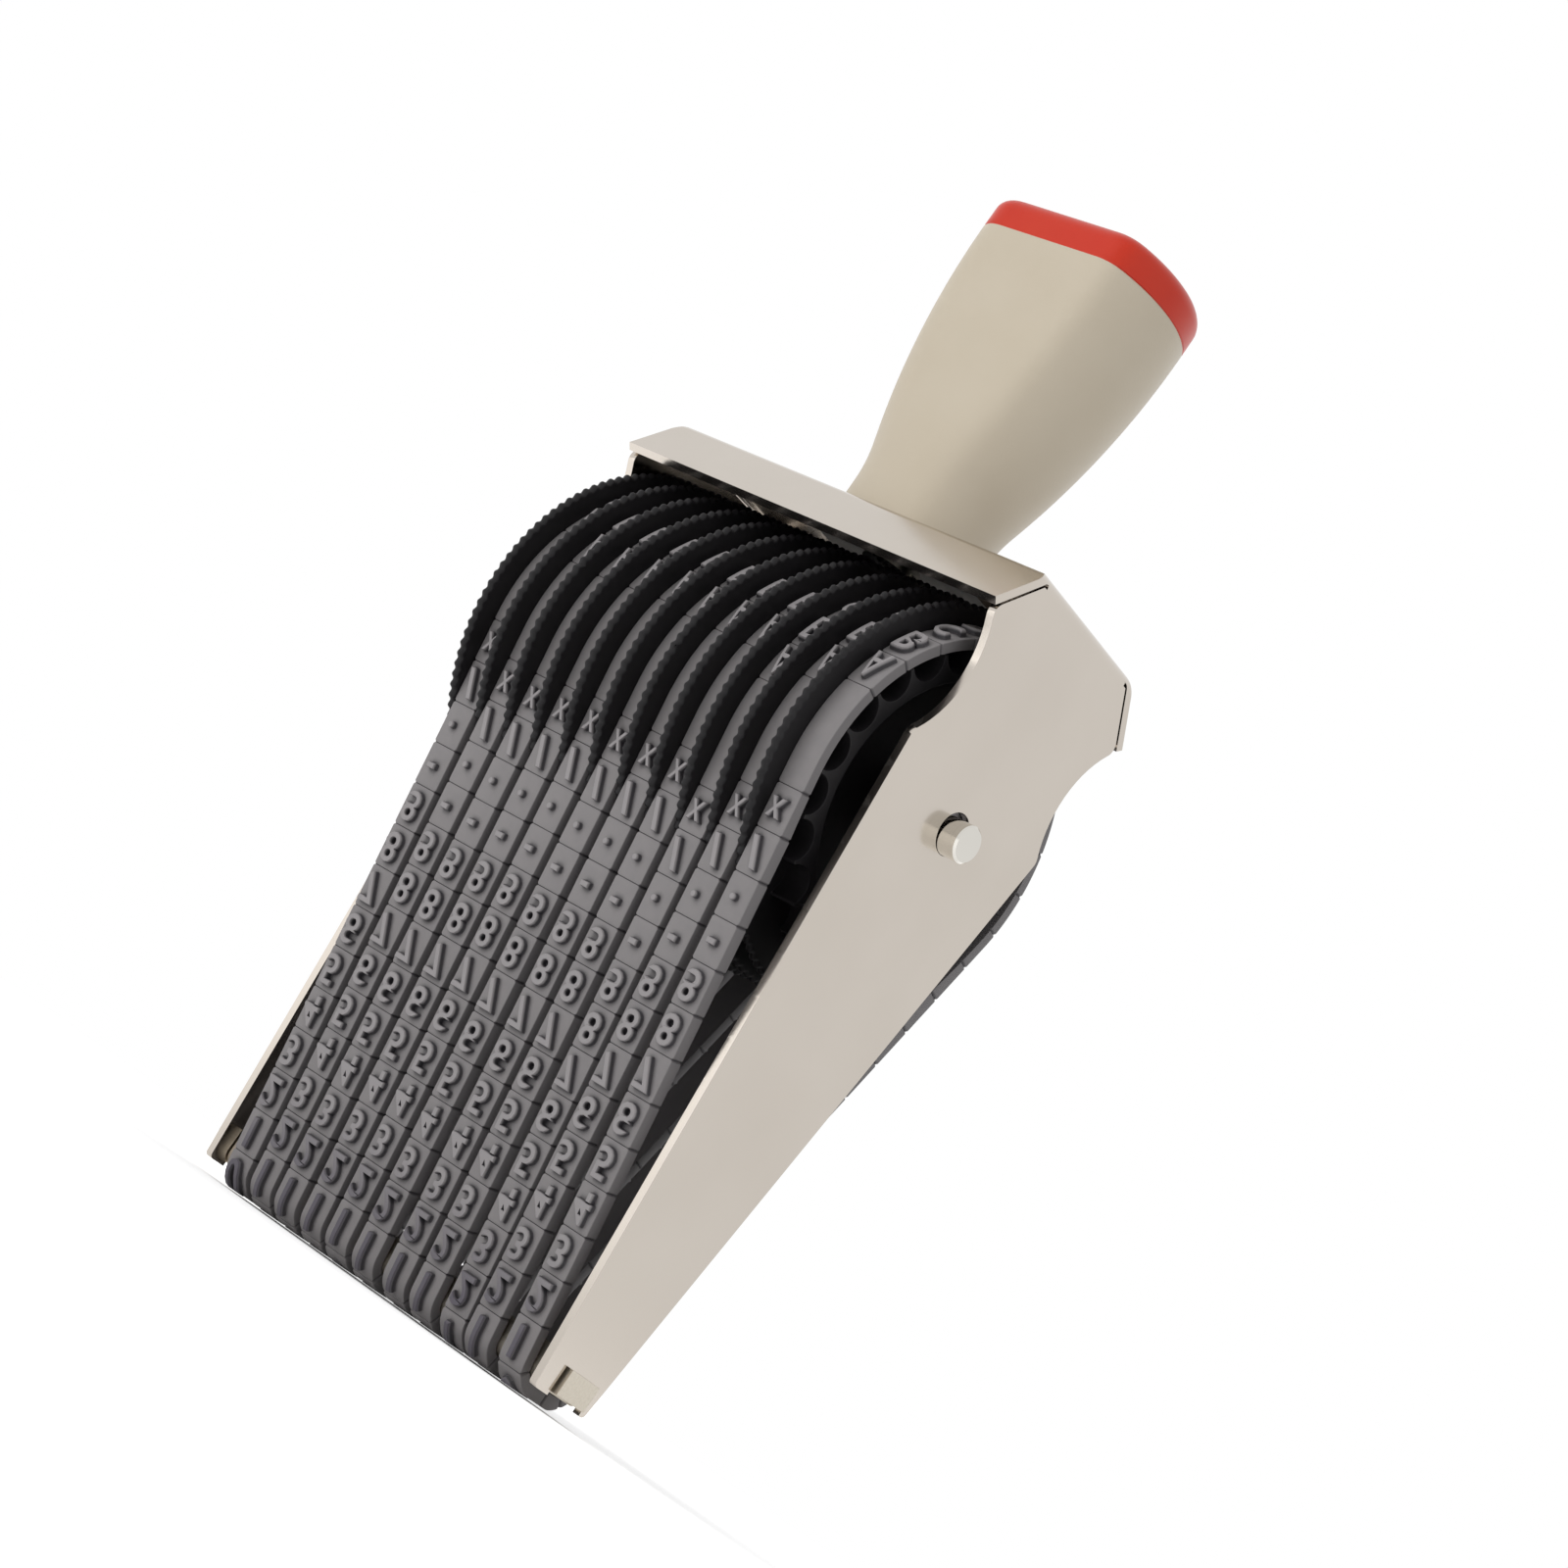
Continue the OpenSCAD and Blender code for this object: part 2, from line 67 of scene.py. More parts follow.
bpy.ops.object.select_all(action="DESELECT")
bpy.ops.object.camera_add(location=eye, rotation=turn.to_euler())
camera = bpy.context.object
camera.name = "photo_camera"
camera.data.sensor_width = 36
camera.data.lens = 81.2
camera.data.clip_start = 0.01
bpy.context.scene.camera = camera
print("camera looks along", [round(c, 3) for c in ahead])

# %% [markdown]
# ## Nodes and colours
#
# Every light and every material below is a small tree of shader nodes. By hand, a node is added, set and wired in the
# shader editor. In a script those are the same few lines again and again, so one function adds a node with its
# settings and links. Colours are written as sRGB hex values, as a colour picker shows them, and a second function
# turns them to the linear values that the renderer works with. The Standard view adds no film curve to them.

# %% A node and a colour
bpy.context.scene.view_settings.view_transform = "Standard"


def add_node(tree, kind, settings, sockets):
    """Adds a node, sets its properties, and gives each named socket a value or a link from another node's output."""
    made = tree.nodes.new(kind)
    for key, value in settings.items():
        setattr(made, key, value)
    for key, value in sockets.items():
        if isinstance(value, bpy.types.NodeSocket):
            tree.links.new(value, made.inputs[key])
        else:
            made.inputs[key].default_value = value
    return made


def linear(code):
    """Turns an sRGB hex colour such as C8BFB5 to linear values."""
    parts = [int(code[i : i + 2], 16) / 255 for i in (0, 2, 4)]
    return (*[c / 12.92 if c <= 0.04045 else ((c + 0.055) / 1.055) ** 2.4 for c in parts], 1.0)


print("middle grey 808080 is", round(linear("808080")[0], 3), "in linear light")

# %% [markdown]
# ## Stage and light
#
# The photograph is a catalogue picture, white all round. The camera and reflections see the world as white, because
# polished nickel shows its surroundings, and the world lights the object more gently than it looks. A backdrop sheet
# could give the same white, but its edges would show from other sides.

# %% White world
world_light = 0.47
world = bpy.data.worlds.new("white_studio")
bpy.context.scene.world = world
world.use_nodes = True
tree = world.node_tree
tree.nodes.clear()
rays = add_node(tree, "ShaderNodeLightPath", {}, {})
seen = add_node(
    tree,
    "ShaderNodeMath",
    {"operation": "MAXIMUM"},
    {0: rays.outputs["Is Camera Ray"], 1: rays.outputs["Is Glossy Ray"]},
)
level = add_node(tree, "ShaderNodeMapRange", {}, {"Value": seen.outputs[0], "To Min": world_light, "To Max": 1.0})
sky = add_node(tree, "ShaderNodeBackground", {}, {"Color": linear("FFFFFF"), "Strength": level.outputs[0]})
add_node(tree, "ShaderNodeOutputWorld", {}, {"Surface": sky.outputs[0]})
print("the world lights with", world_light, "and looks white")

# %% [markdown]
# The light is soft. Its main source stands at the front, a little to the left, so the shade of the type falls to the
# right and the light still reaches down between the rims. Two weaker panels fill the right side and the back. Large
# area lamps stand for a studio's soft boxes: a spot or a sun would draw hard shadows, which the photograph hasn't.
# Reflections don't show the panels, so that nickel never glares.

# %% Three light panels
aim_at = Vector((0, 0, 0.07))
for name, place, size, watts in (
    ("key_panel", (-0.3, -0.8, 0.45), 0.7, 4.1),
    ("side_panel", (0.75, -0.1, 0.4), 0.7, 0.9),
    ("back_panel", (-0.2, 0.8, 0.5), 0.9, 1.8),
):
    aim = aim_at - Vector(place)
    bpy.ops.object.light_add(type="AREA", location=place, rotation=aim.to_track_quat("-Z", "Y").to_euler())
    lamp = bpy.context.object
    lamp.name = name
    lamp.data.size = size
    lamp.data.energy = watts
    lamp.visible_glossy = False

# %% [markdown]
# ## Materials
#
# Every material reads Object coordinates, which are metres in this file, so a pattern whose features are d mm wide
# has a noise scale of about 1 / (d * 0.001). A finish is never one flat number: each one gets a faint change of
# colour, a change of gloss and a fine bump, as the way the real surface was made leaves them.

# %% A start for every material
def per_mm(size):
    """Noise scale for features of this size in millimetres."""
    return 1 / (size * MM)


def new_material(name):
    """An empty material; returns it, its tree and the Object coordinates that its patterns read."""
    made = bpy.data.materials.new(name)
    made.use_nodes = True
    made.node_tree.nodes.clear()
    where = add_node(made.node_tree, "ShaderNodeTexCoord", {}, {})
    return made, made.node_tree, where.outputs["Object"]


print("1 mm features have a noise scale of", round(per_mm(1)))

# %% [markdown]
# ### The floor
#
# The floor is a matt white card on a light table. White paint alone would turn grey in the picture, and more light
# would spoil the object's own colours. So the card has a glow, which only the camera and reflections see. It grows
# away from the stamp, and the floor meets the background without an edge and still carries the shadow. In an oval
# under the printing face there is no glow, which paints a contact shadow, so the stamp stands on a dark line.

# %% White card
# Half sizes in mm of the oval of painted contact shadow under the printing face.
shadow_oval_x, shadow_oval_y = 34.0, 7.5
card, tree, where = new_material("matt_white_card")
fibre = add_node(tree, "ShaderNodeTexNoise", {}, {"Vector": where, "Scale": per_mm(2), "Detail": 3.0})
nap = add_node(tree, "ShaderNodeBump", {}, {"Height": fibre.outputs[0], "Strength": 0.1, "Distance": 0.02 * MM})
face = add_node(tree, "ShaderNodeBsdfDiffuse", {}, {"Color": linear("F7F7F7"), "Normal": nap.outputs[0]})
away = add_node(tree, "ShaderNodeVectorMath", {"operation": "LENGTH"}, {0: where})
glow = add_node(
    tree,
    "ShaderNodeMapRange",
    {},
    {"Value": away.outputs["Value"], "From Min": 40 * MM, "From Max": 140 * MM, "To Min": 0.42, "To Max": 0.66},
)
# Painted contact shadow: inside this oval under the printing face the glow fades to nothing.
in_shadow_ovals = add_node(
    tree,
    "ShaderNodeVectorMath",
    {"operation": "MULTIPLY"},
    {0: where, 1: (1 / (shadow_oval_x * MM), 1 / (shadow_oval_y * MM), 0)},
)
shadow_oval_reach = add_node(tree, "ShaderNodeVectorMath", {"operation": "LENGTH"}, {0: in_shadow_ovals.outputs[0]})
clear = add_node(
    tree, "ShaderNodeMapRange", {}, {"Value": shadow_oval_reach.outputs["Value"], "From Min": 0.85, "From Max": 1.15}
)
print(card.name, "has a dark oval of", 2 * shadow_oval_x, "by", 2 * shadow_oval_y, "mm")

# %% [markdown]
# The glow is added to the card's own light, and a plane carries the material, just under the type that stands on it.

# %% Floor
floor_z, floor_size = -0.2 * MM, 6
rays = add_node(tree, "ShaderNodeLightPath", {}, {})
seen = add_node(
    tree,
    "ShaderNodeMath",
    {"operation": "MAXIMUM"},
    {0: rays.outputs["Is Camera Ray"], 1: rays.outputs["Is Glossy Ray"]},
)
glow_outside_shadow_oval = add_node(tree, "ShaderNodeMath", {"operation": "MULTIPLY"}, {0: glow.outputs[0], 1: clear.outputs[0]})
level = add_node(tree, "ShaderNodeMath", {"operation": "MULTIPLY"}, {0: glow_outside_shadow_oval.outputs[0], 1: seen.outputs[0]})
table = add_node(tree, "ShaderNodeEmission", {}, {"Color": linear("FFFFFF"), "Strength": level.outputs[0]})
both = add_node(tree, "ShaderNodeAddShader", {}, {0: face.outputs[0], 1: table.outputs[0]})
add_node(tree, "ShaderNodeOutputMaterial", {}, {"Surface": both.outputs[0]})

bpy.ops.object.select_all(action="DESELECT")
bpy.ops.mesh.primitive_plane_add(size=floor_size, location=(0, 0, floor_z))
floor = bpy.context.object
floor.name = "floor"
bpy.ops.object.transform_apply(location=True, rotation=True, scale=True)
floor.data.materials.append(card)
print("floor:", floor_size, "m wide with", len(tree.nodes), "nodes in its material")

# %% [markdown]
# ### Bright nickel plate
#
# The frame is sheet steel with bright nickel plate: a warm, pale mirror with a slight haze. The sheet was polished
# before plating, so its faint waviness has no direction. A grey paint could copy the picture from this side alone. A
# true metal with a little roughness answers to any light, and like every metal here it keeps the default IOR.

# %% Bright nickel plate
nickel, tree, where = new_material("bright_nickel_plate")
haze = add_node(tree, "ShaderNodeTexNoise", {}, {"Vector": where, "Scale": per_mm(14), "Detail": 3.0})
waves = add_node(tree, "ShaderNodeTexNoise", {}, {"Vector": where, "Scale": per_mm(0.6), "Detail": 3.0})
tone = add_node(
    tree,
    "ShaderNodeMix",
    {"data_type": "RGBA"},
    {0: haze.outputs[0], 6: linear("CCC4BB"), 7: linear("C3BBB1")},
)
dull = add_node(tree, "ShaderNodeMapRange", {}, {"Value": haze.outputs[0], "To Min": 0.1, "To Max": 0.2})
polish = add_node(tree, "ShaderNodeBump", {}, {"Height": waves.outputs[0], "Strength": 0.3, "Distance": 0.002 * MM})
face = add_node(
    tree,
    "ShaderNodeBsdfPrincipled",
    {},
    {"Base Color": tone.outputs[2], "Metallic": 1.0, "Roughness": dull.outputs[0], "Normal": polish.outputs[0]},
)
add_node(tree, "ShaderNodeOutputMaterial", {}, {"Surface": face.outputs[0]})
print(nickel.name, "has", len(tree.nodes), "nodes")

# %% [markdown]
# ### Nickel plate with painted shade
#
# The fixing strip over the wheels has the same plate, but nobody polished it, so it is rougher, with stains about
# 3 mm wide. It lies in shade under the lip, and with the frame's bright plate it would flash between the lip and the
# wheels, where the photograph is dim. So its colour is much darker: painted shade.

# %% Nickel plate with painted shade
shaded_dull_nickel, tree, where = new_material("nickel_plate_painted_shade")
stain = add_node(tree, "ShaderNodeTexNoise", {}, {"Vector": where, "Scale": per_mm(3), "Detail": 4.0})
# Painted shade: both colours are far darker than the bright plate, as the strip looks in the shade under the lip.
tone = add_node(
    tree,
    "ShaderNodeMix",
    {"data_type": "RGBA"},
    {0: stain.outputs[0], 6: linear("5E5850"), 7: linear("484239")},
)
dull = add_node(tree, "ShaderNodeMapRange", {}, {"Value": stain.outputs[0], "To Min": 0.42, "To Max": 0.58})
pits = add_node(tree, "ShaderNodeBump", {}, {"Height": stain.outputs[0], "Strength": 0.4, "Distance": 0.004 * MM})
face = add_node(
    tree,
    "ShaderNodeBsdfPrincipled",
    {},
    {"Base Color": tone.outputs[2], "Metallic": 1.0, "Roughness": dull.outputs[0], "Normal": pits.outputs[0]},
)
add_node(tree, "ShaderNodeOutputMaterial", {}, {"Surface": face.outputs[0]})
print(shaded_dull_nickel.name, "has", len(tree.nodes), "nodes")

# %% [markdown]
# ### Polished turned steel
#
# The axle is a pin that was turned on a lathe and polished, so fine lines run round it. A wave pattern would draw
# them too evenly. A noise that a Mapping node stretches across the pin gives uneven rings, about 0.2 mm wide.

# %% Polished turned steel
pin_steel, tree, where = new_material("polished_turned_steel")
round_x = add_node(tree, "ShaderNodeMapping", {}, {"Vector": where, "Scale": (1, 0.02, 0.02)})
turned = add_node(
    tree, "ShaderNodeTexNoise", {}, {"Vector": round_x.outputs[0], "Scale": per_mm(0.2), "Detail": 2.0}
)
tone = add_node(
    tree,
    "ShaderNodeMix",
    {"data_type": "RGBA"},
    {0: turned.outputs[0], 6: linear("D9D6CF"), 7: linear("CBC8C1")},
)
dull = add_node(tree, "ShaderNodeMapRange", {}, {"Value": turned.outputs[0], "To Min": 0.06, "To Max": 0.16})
lines = add_node(tree, "ShaderNodeBump", {}, {"Height": turned.outputs[0], "Strength": 0.5, "Distance": 0.003 * MM})
face = add_node(
    tree,
    "ShaderNodeBsdfPrincipled",
    {},
    {"Base Color": tone.outputs[2], "Metallic": 1.0, "Roughness": dull.outputs[0], "Normal": lines.outputs[0]},
)
add_node(tree, "ShaderNodeOutputMaterial", {}, {"Surface": face.outputs[0]})
print(pin_steel.name, "has", len(tree.nodes), "nodes")

# %% [markdown]
# ### Satin drawn zinc
#
# The bar at the foot was drawn through a die, which leaves a satin with lines along the bar. It is the same stretched
# noise as on the axle, turned the other way and rougher.

# %% Satin drawn zinc
drawn_zinc, tree, where = new_material("satin_drawn_zinc")
along_x = add_node(tree, "ShaderNodeMapping", {}, {"Vector": where, "Scale": (0.05, 1, 1)})
drawn = add_node(
    tree, "ShaderNodeTexNoise", {}, {"Vector": along_x.outputs[0], "Scale": per_mm(0.25), "Detail": 3.0}
)
tone = add_node(
    tree,
    "ShaderNodeMix",
    {"data_type": "RGBA"},
    {0: drawn.outputs[0], 6: linear("D2CBBE"), 7: linear("BDB5A7")},
)
dull = add_node(tree, "ShaderNodeMapRange", {}, {"Value": drawn.outputs[0], "To Min": 0.3, "To Max": 0.46})
lines = add_node(tree, "ShaderNodeBump", {}, {"Height": drawn.outputs[0], "Strength": 0.6, "Distance": 0.006 * MM})
face = add_node(
    tree,
    "ShaderNodeBsdfPrincipled",
    {},
    {"Base Color": tone.outputs[2], "Metallic": 1.0, "Roughness": dull.outputs[0], "Normal": lines.outputs[0]},
)
add_node(tree, "ShaderNodeOutputMaterial", {}, {"Surface": face.outputs[0]})
print(drawn_zinc.name, "has", len(tree.nodes), "nodes")

# %% [markdown]
# ### Oiled spring steel
#
# The clips that hold the axle are hardened steel, darker than the plate, under a film of oil. The film is uneven, so
# one noise of 1.6 mm changes colour, gloss and bump together. Black paint would look dry.

# %% Oiled spring steel
spring_steel, tree, where = new_material("oiled_spring_steel")
film = add_node(tree, "ShaderNodeTexNoise", {}, {"Vector": where, "Scale": per_mm(1.6), "Detail": 4.0})
tone = add_node(
    tree,
    "ShaderNodeMix",
    {"data_type": "RGBA"},
    {0: film.outputs[0], 6: linear("77767A"), 7: linear("5C5B5F")},
)
dull = add_node(tree, "ShaderNodeMapRange", {}, {"Value": film.outputs[0], "To Min": 0.24, "To Max": 0.42})
smear = add_node(tree, "ShaderNodeBump", {}, {"Height": film.outputs[0], "Strength": 0.5, "Distance": 0.004 * MM})
face = add_node(
    tree,
    "ShaderNodeBsdfPrincipled",
    {},
    {"Base Color": tone.outputs[2], "Metallic": 1.0, "Roughness": dull.outputs[0], "Normal": smear.outputs[0]},
)
add_node(tree, "ShaderNodeOutputMaterial", {}, {"Surface": face.outputs[0]})
print(spring_steel.name, "has", len(tree.nodes), "nodes")

# %% [markdown]
# ### Moulded black ABS
#
# Wheels, handle and cap are injection moulded ABS, with an IOR of about 1.53. The wheels are carbon black with a low
# sheen and a little dust. Pure black would hide the teeth, so the dust lightens it here and there, and the weaker
# highlight keeps the rims dark between their edges.

# %% Moulded black ABS
abs_ior = 1.53
black_abs, tree, where = new_material("moulded_black_abs")
dust = add_node(tree, "ShaderNodeTexNoise", {}, {"Vector": where, "Scale": per_mm(1.2), "Detail": 4.0})
grain = add_node(tree, "ShaderNodeTexNoise", {}, {"Vector": where, "Scale": per_mm(0.15), "Detail": 2.0})
tone = add_node(
    tree,
    "ShaderNodeMix",
    {"data_type": "RGBA"},
    {0: dust.outputs[0], 6: linear("121113"), 7: linear("1D1B1D")},
)
dull = add_node(tree, "ShaderNodeMapRange", {}, {"Value": dust.outputs[0], "To Min": 0.42, "To Max": 0.6})
skin = add_node(tree, "ShaderNodeBump", {}, {"Height": grain.outputs[0], "Strength": 0.5, "Distance": 0.01 * MM})
face = add_node(
    tree,
    "ShaderNodeBsdfPrincipled",
    {},
    {
        "Base Color": tone.outputs[2],
        "Roughness": dull.outputs[0],
        "IOR": abs_ior,
        "Specular IOR Level": 0.25,
        "Normal": skin.outputs[0],
    },
)
add_node(tree, "ShaderNodeOutputMaterial", {}, {"Surface": face.outputs[0]})
print(black_abs.name, "has", len(tree.nodes), "nodes")

# %% [markdown]
# ### Blasted cream ABS
#
# The handle left a finely blasted mould, so it is satin. Roughness alone would make it waxy. A bump of 0.3 mm grain,
# drawn coarser than the real 0.1 mm so that it shows, breaks the light up as the blasted skin does.

# %% Blasted cream ABS
cream_abs, tree, where = new_material("blasted_cream_abs")
tint = add_node(tree, "ShaderNodeTexNoise", {}, {"Vector": where, "Scale": per_mm(9), "Detail": 3.0})
grain = add_node(tree, "ShaderNodeTexNoise", {}, {"Vector": where, "Scale": per_mm(0.3), "Detail": 3.0})
tone = add_node(
    tree,
    "ShaderNodeMix",
    {"data_type": "RGBA"},
    {0: tint.outputs[0], 6: linear("CABFAC"), 7: linear("C3B7A2")},
)
dull = add_node(tree, "ShaderNodeMapRange", {}, {"Value": tint.outputs[0], "To Min": 0.36, "To Max": 0.46})
skin = add_node(tree, "ShaderNodeBump", {}, {"Height": grain.outputs[0], "Strength": 0.5, "Distance": 0.02 * MM})
face = add_node(
    tree,
    "ShaderNodeBsdfPrincipled",
    {},
    {"Base Color": tone.outputs[2], "Roughness": dull.outputs[0], "IOR": abs_ior, "Normal": skin.outputs[0]},
)
add_node(tree, "ShaderNodeOutputMaterial", {}, {"Surface": face.outputs[0]})
print(cream_abs.name, "has", len(tree.nodes), "nodes")

# %% [markdown]
# ### Smooth red ABS
#
# The cap's mould was smoother, so the cap is glossier than the handle. Its highlight is held back a little, because
# a strong white one would wash the red out from above.

# %% Smooth red ABS
red_abs, tree, where = new_material("smooth_red_abs")
tint = add_node(tree, "ShaderNodeTexNoise", {}, {"Vector": where, "Scale": per_mm(6), "Detail": 3.0})
grain = add_node(tree, "ShaderNodeTexNoise", {}, {"Vector": where, "Scale": per_mm(0.4), "Detail": 2.0})
tone = add_node(
    tree,
    "ShaderNodeMix",
    {"data_type": "RGBA"},
    {0: tint.outputs[0], 6: linear("CB371C"), 7: linear("C52912")},
)
dull = add_node(tree, "ShaderNodeMapRange", {}, {"Value": tint.outputs[0], "To Min": 0.26, "To Max": 0.36})
skin = add_node(tree, "ShaderNodeBump", {}, {"Height": grain.outputs[0], "Strength": 0.4, "Distance": 0.01 * MM})
face = add_node(
    tree,
    "ShaderNodeBsdfPrincipled",
    {},
    {
        "Base Color": tone.outputs[2],
        "Roughness": dull.outputs[0],
        "IOR": abs_ior,
        "Specular IOR Level": 0.3,
        "Normal": skin.outputs[0],
    },
)
add_node(tree, "ShaderNodeOutputMaterial", {}, {"Surface": face.outputs[0]})
print(red_abs.name, "has", len(tree.nodes), "nodes")

# %% [markdown]
# ### Stamp rubber
#
# The bands are vulcanised grey rubber: matt, slightly purple, with a bloom of fine chalk. A darker grey on the inner
# face, the sides and in the grooves between the pads is painted shade, where little light gets between the bands.
# Round the foot of each character the walls are darker, old ink and painted shade together, and its top is paler, a
# painted highlight. These colours could be painted by hand on each band. Here the mesh of a band carries the height
# over its inner face in an attribute called lift, from 0 to 2.05 mm with the pads at 1.3 mm, and three ranges of it
# bring the colours on.

# %% Rubber by its height
rubber, tree, where = new_material("grey_stamp_rubber")
lift = add_node(tree, "ShaderNodeAttribute", {"attribute_name": "lift"}, {})
bloom = add_node(tree, "ShaderNodeTexNoise", {}, {"Vector": where, "Scale": per_mm(1.5), "Detail": 4.0})
tone = add_node(
    tree,
    "ShaderNodeMix",
    {"data_type": "RGBA"},
    {0: bloom.outputs[0], 6: linear("7E7B7C"), 7: linear("8B8787")},
)
# Below 1.12 mm the inner face and sides go darker (painted shade), from 1.32 to 1.5 mm the walls of the characters
# darken (old ink and painted shade), and from 1.7 to 1.95 mm their tops turn paler (painted highlight).
for start, end, below, above in (
    (1.12, 1.28, "6E6B6C", None),
    (1.32, 1.5, None, "3F3D40"),
    (1.7, 1.95, None, "969293"),
):
    share = add_node(
        tree, "ShaderNodeMapRange", {}, {"Value": lift.outputs["Fac"], "From Min": start, "From Max": end}
    )
    tone = add_node(
        tree,
        "ShaderNodeMix",
        {"data_type": "RGBA"},
        {
            0: share.outputs[0],
            6: linear(below) if below else tone.outputs[2],
            7: linear(above) if above else tone.outputs[2],
        },
    )
print(rubber.name, "takes its colours from", lift.attribute_name)

# %% [markdown]
# The ink pad touches the foot of the stamp, so the tops of the lowest characters are stained too: the last share,
# which marks the tops, is multiplied by a range of the height over the table. Then the inner corners are darkened,
# a painted shade that also stands for grime there. An occlusion node finds them on any mesh, so nothing has to be
# painted on the mesh for them.

# %% Ink and painted shade
place = add_node(tree, "ShaderNodeSeparateXYZ", {}, {"Vector": where})
near_pad = add_node(
    tree,
    "ShaderNodeMapRange",
    {},
    {"Value": place.outputs["Z"], "From Min": 5 * MM, "From Max": 14 * MM, "To Min": 0.85, "To Max": 0.0},
)
ink = add_node(tree, "ShaderNodeMath", {"operation": "MULTIPLY"}, {0: share.outputs[0], 1: near_pad.outputs[0]})
tone = add_node(
    tree,
    "ShaderNodeMix",
    {"data_type": "RGBA"},
    {0: ink.outputs[0], 6: tone.outputs[2], 7: linear("4C4853")},
)
# Painted shade: where the occlusion node finds an inner corner, the colour moves towards a dark 2E2C30.
corner = add_node(
    tree, "ShaderNodeAmbientOcclusion", {"samples": 8, "only_local": True}, {"Distance": 0.7 * MM}
)
outside_painted_shade = add_node(
    tree, "ShaderNodeMapRange", {}, {"Value": corner.outputs["AO"], "From Min": 0.45, "From Max": 0.95}
)
tone = add_node(
    tree,
    "ShaderNodeMix",
    {"data_type": "RGBA"},
    {0: outside_painted_shade.outputs[0], 6: linear("2E2C30"), 7: tone.outputs[2]},
)
print("ink and grime:", len(tree.nodes), "nodes so far")

# %% [markdown]
# Chalk makes rubber matt, so the bloom also changes the gloss, and a grit of about 0.2 mm gives the dry skin.

# %% Skin of the rubber
grit = add_node(tree, "ShaderNodeTexNoise", {}, {"Vector": where, "Scale": per_mm(0.18), "Detail": 3.0})
dull = add_node(tree, "ShaderNodeMapRange", {}, {"Value": bloom.outputs[0], "To Min": 0.55, "To Max": 0.72})
skin = add_node(tree, "ShaderNodeBump", {}, {"Height": grit.outputs[0], "Strength": 0.5, "Distance": 0.015 * MM})
face = add_node(
    tree,
    "ShaderNodeBsdfPrincipled",
    {},
    {"Base Color": tone.outputs[2], "Roughness": dull.outputs[0], "IOR": 1.52, "Normal": skin.outputs[0]},
)
add_node(tree, "ShaderNodeOutputMaterial", {}, {"Surface": face.outputs[0]})
print(rubber.name, "has", len(tree.nodes), "nodes")

# %% [markdown]
# ## The type bands
#
# A band is easiest to model flat. One cell, a little pad with eased edges, is repeated for the figures and for the
# letters, with a smooth blank stretch between them. Raised characters come from text. The finished strip is copied
# for each band, run on as far as the photograph shows, and wrapped round the band's path. A Curve modifier could wrap
# it, but it would stretch the type at the tight turns, and a path that is worked out keeps its size.
#
# The path is the one of the CAD bands: a flat under the bar, a tight turn, a straight run, the drum, and the same
# again at the back. A cord inside the rubber doesn't stretch, so lengths are measured along it.

# %% Sizes of a band, in mm
band_w, band_t = 3.84, 1.3
axle_z, loop_r = 75.6, 20.3
turn_y, turn_z, turn_r = 2.3, 3.5, 1.7
cord_depth, cell_n = 0.45, 43
rise = axle_z - turn_z
run_len = math.sqrt(rise**2 + turn_y**2 - (loop_r - turn_r) ** 2)
tilt = math.atan2(loop_r - turn_r, run_len) - math.atan2(turn_y, rise)
run_from = turn_y + (turn_r + cord_depth) * (math.pi / 2 - tilt)
run_to = run_from + run_len
loop_len = 2 * (run_to + (loop_r + cord_depth) * (math.pi / 2 + tilt))
cell_len = loop_len / cell_n
print("loop", round(loop_len, 2), "mm, cell", round(cell_len, 3), "mm")

# %% [markdown]
# A real band isn't the same all round. Between the bar and the drum nothing presses on its inner layer, which stands
# out a little there and closes the view between two bands, so it is drawn up to 0.35 mm thicker. Under the bar, the
# weight of the stamp presses the rubber out towards the table, and type that meets the table is flat.

# %% Path of a band
layer_more, layer_ease = 0.35, 8.0
press_more, press_ease = 0.42, 1.2


def on_path(s, h):
    """Y and Z in mm of points that lie s along the band and h over its inner face."""
    s = np.mod(s, loop_len)
    at_back = s > loop_len / 2
    s = np.where(at_back, loop_len - s, s)
    slack = np.clip(np.minimum(s - run_from, run_to - s) / layer_ease, 0, 1)
    h = np.where(h < 0.01, h - layer_more * slack**2, h)
    weight = np.clip(1 - (s - turn_y) / press_ease, 0, 1)
    h = h + press_more * weight * np.clip(h / band_t, 0, 1)
    low = (s - turn_y) / (turn_r + cord_depth)
    high = tilt - (s - run_to) / (loop_r + cord_depth)
    where = [s < turn_y, s < run_from, s < run_to]
    y = np.select(
        where,
        [
            -s,
            -turn_y - (turn_r + h) * np.sin(low),
            -turn_y - (turn_r + h) * math.cos(tilt) - (s - run_from) * math.sin(tilt),
        ],
        -(loop_r + h) * np.cos(high),
    )
    z = np.select(
        where,
        [
            turn_z - turn_r - h,
            turn_z - (turn_r + h) * np.cos(low),
            turn_z - (turn_r + h) * math.sin(tilt) + (s - run_from) * math.cos(tilt),
        ],
        axle_z - (loop_r + h) * np.sin(high),
    )
    return np.where(at_back, -y, y), np.maximum(z, 0)


print("top of the inner face:", on_path(np.array([loop_len / 2]), np.array([0.0]))[1].round(2), "mm")

# %% [markdown]
# Modelling by script is like modelling by hand: go to edit mode, select, act. Three helpers do what every step below
# needs: enter edit mode with all selected, select by a test, and cut across at even steps. A loop cut would make the
# same cuts, but it needs a window. Bisect doesn't.

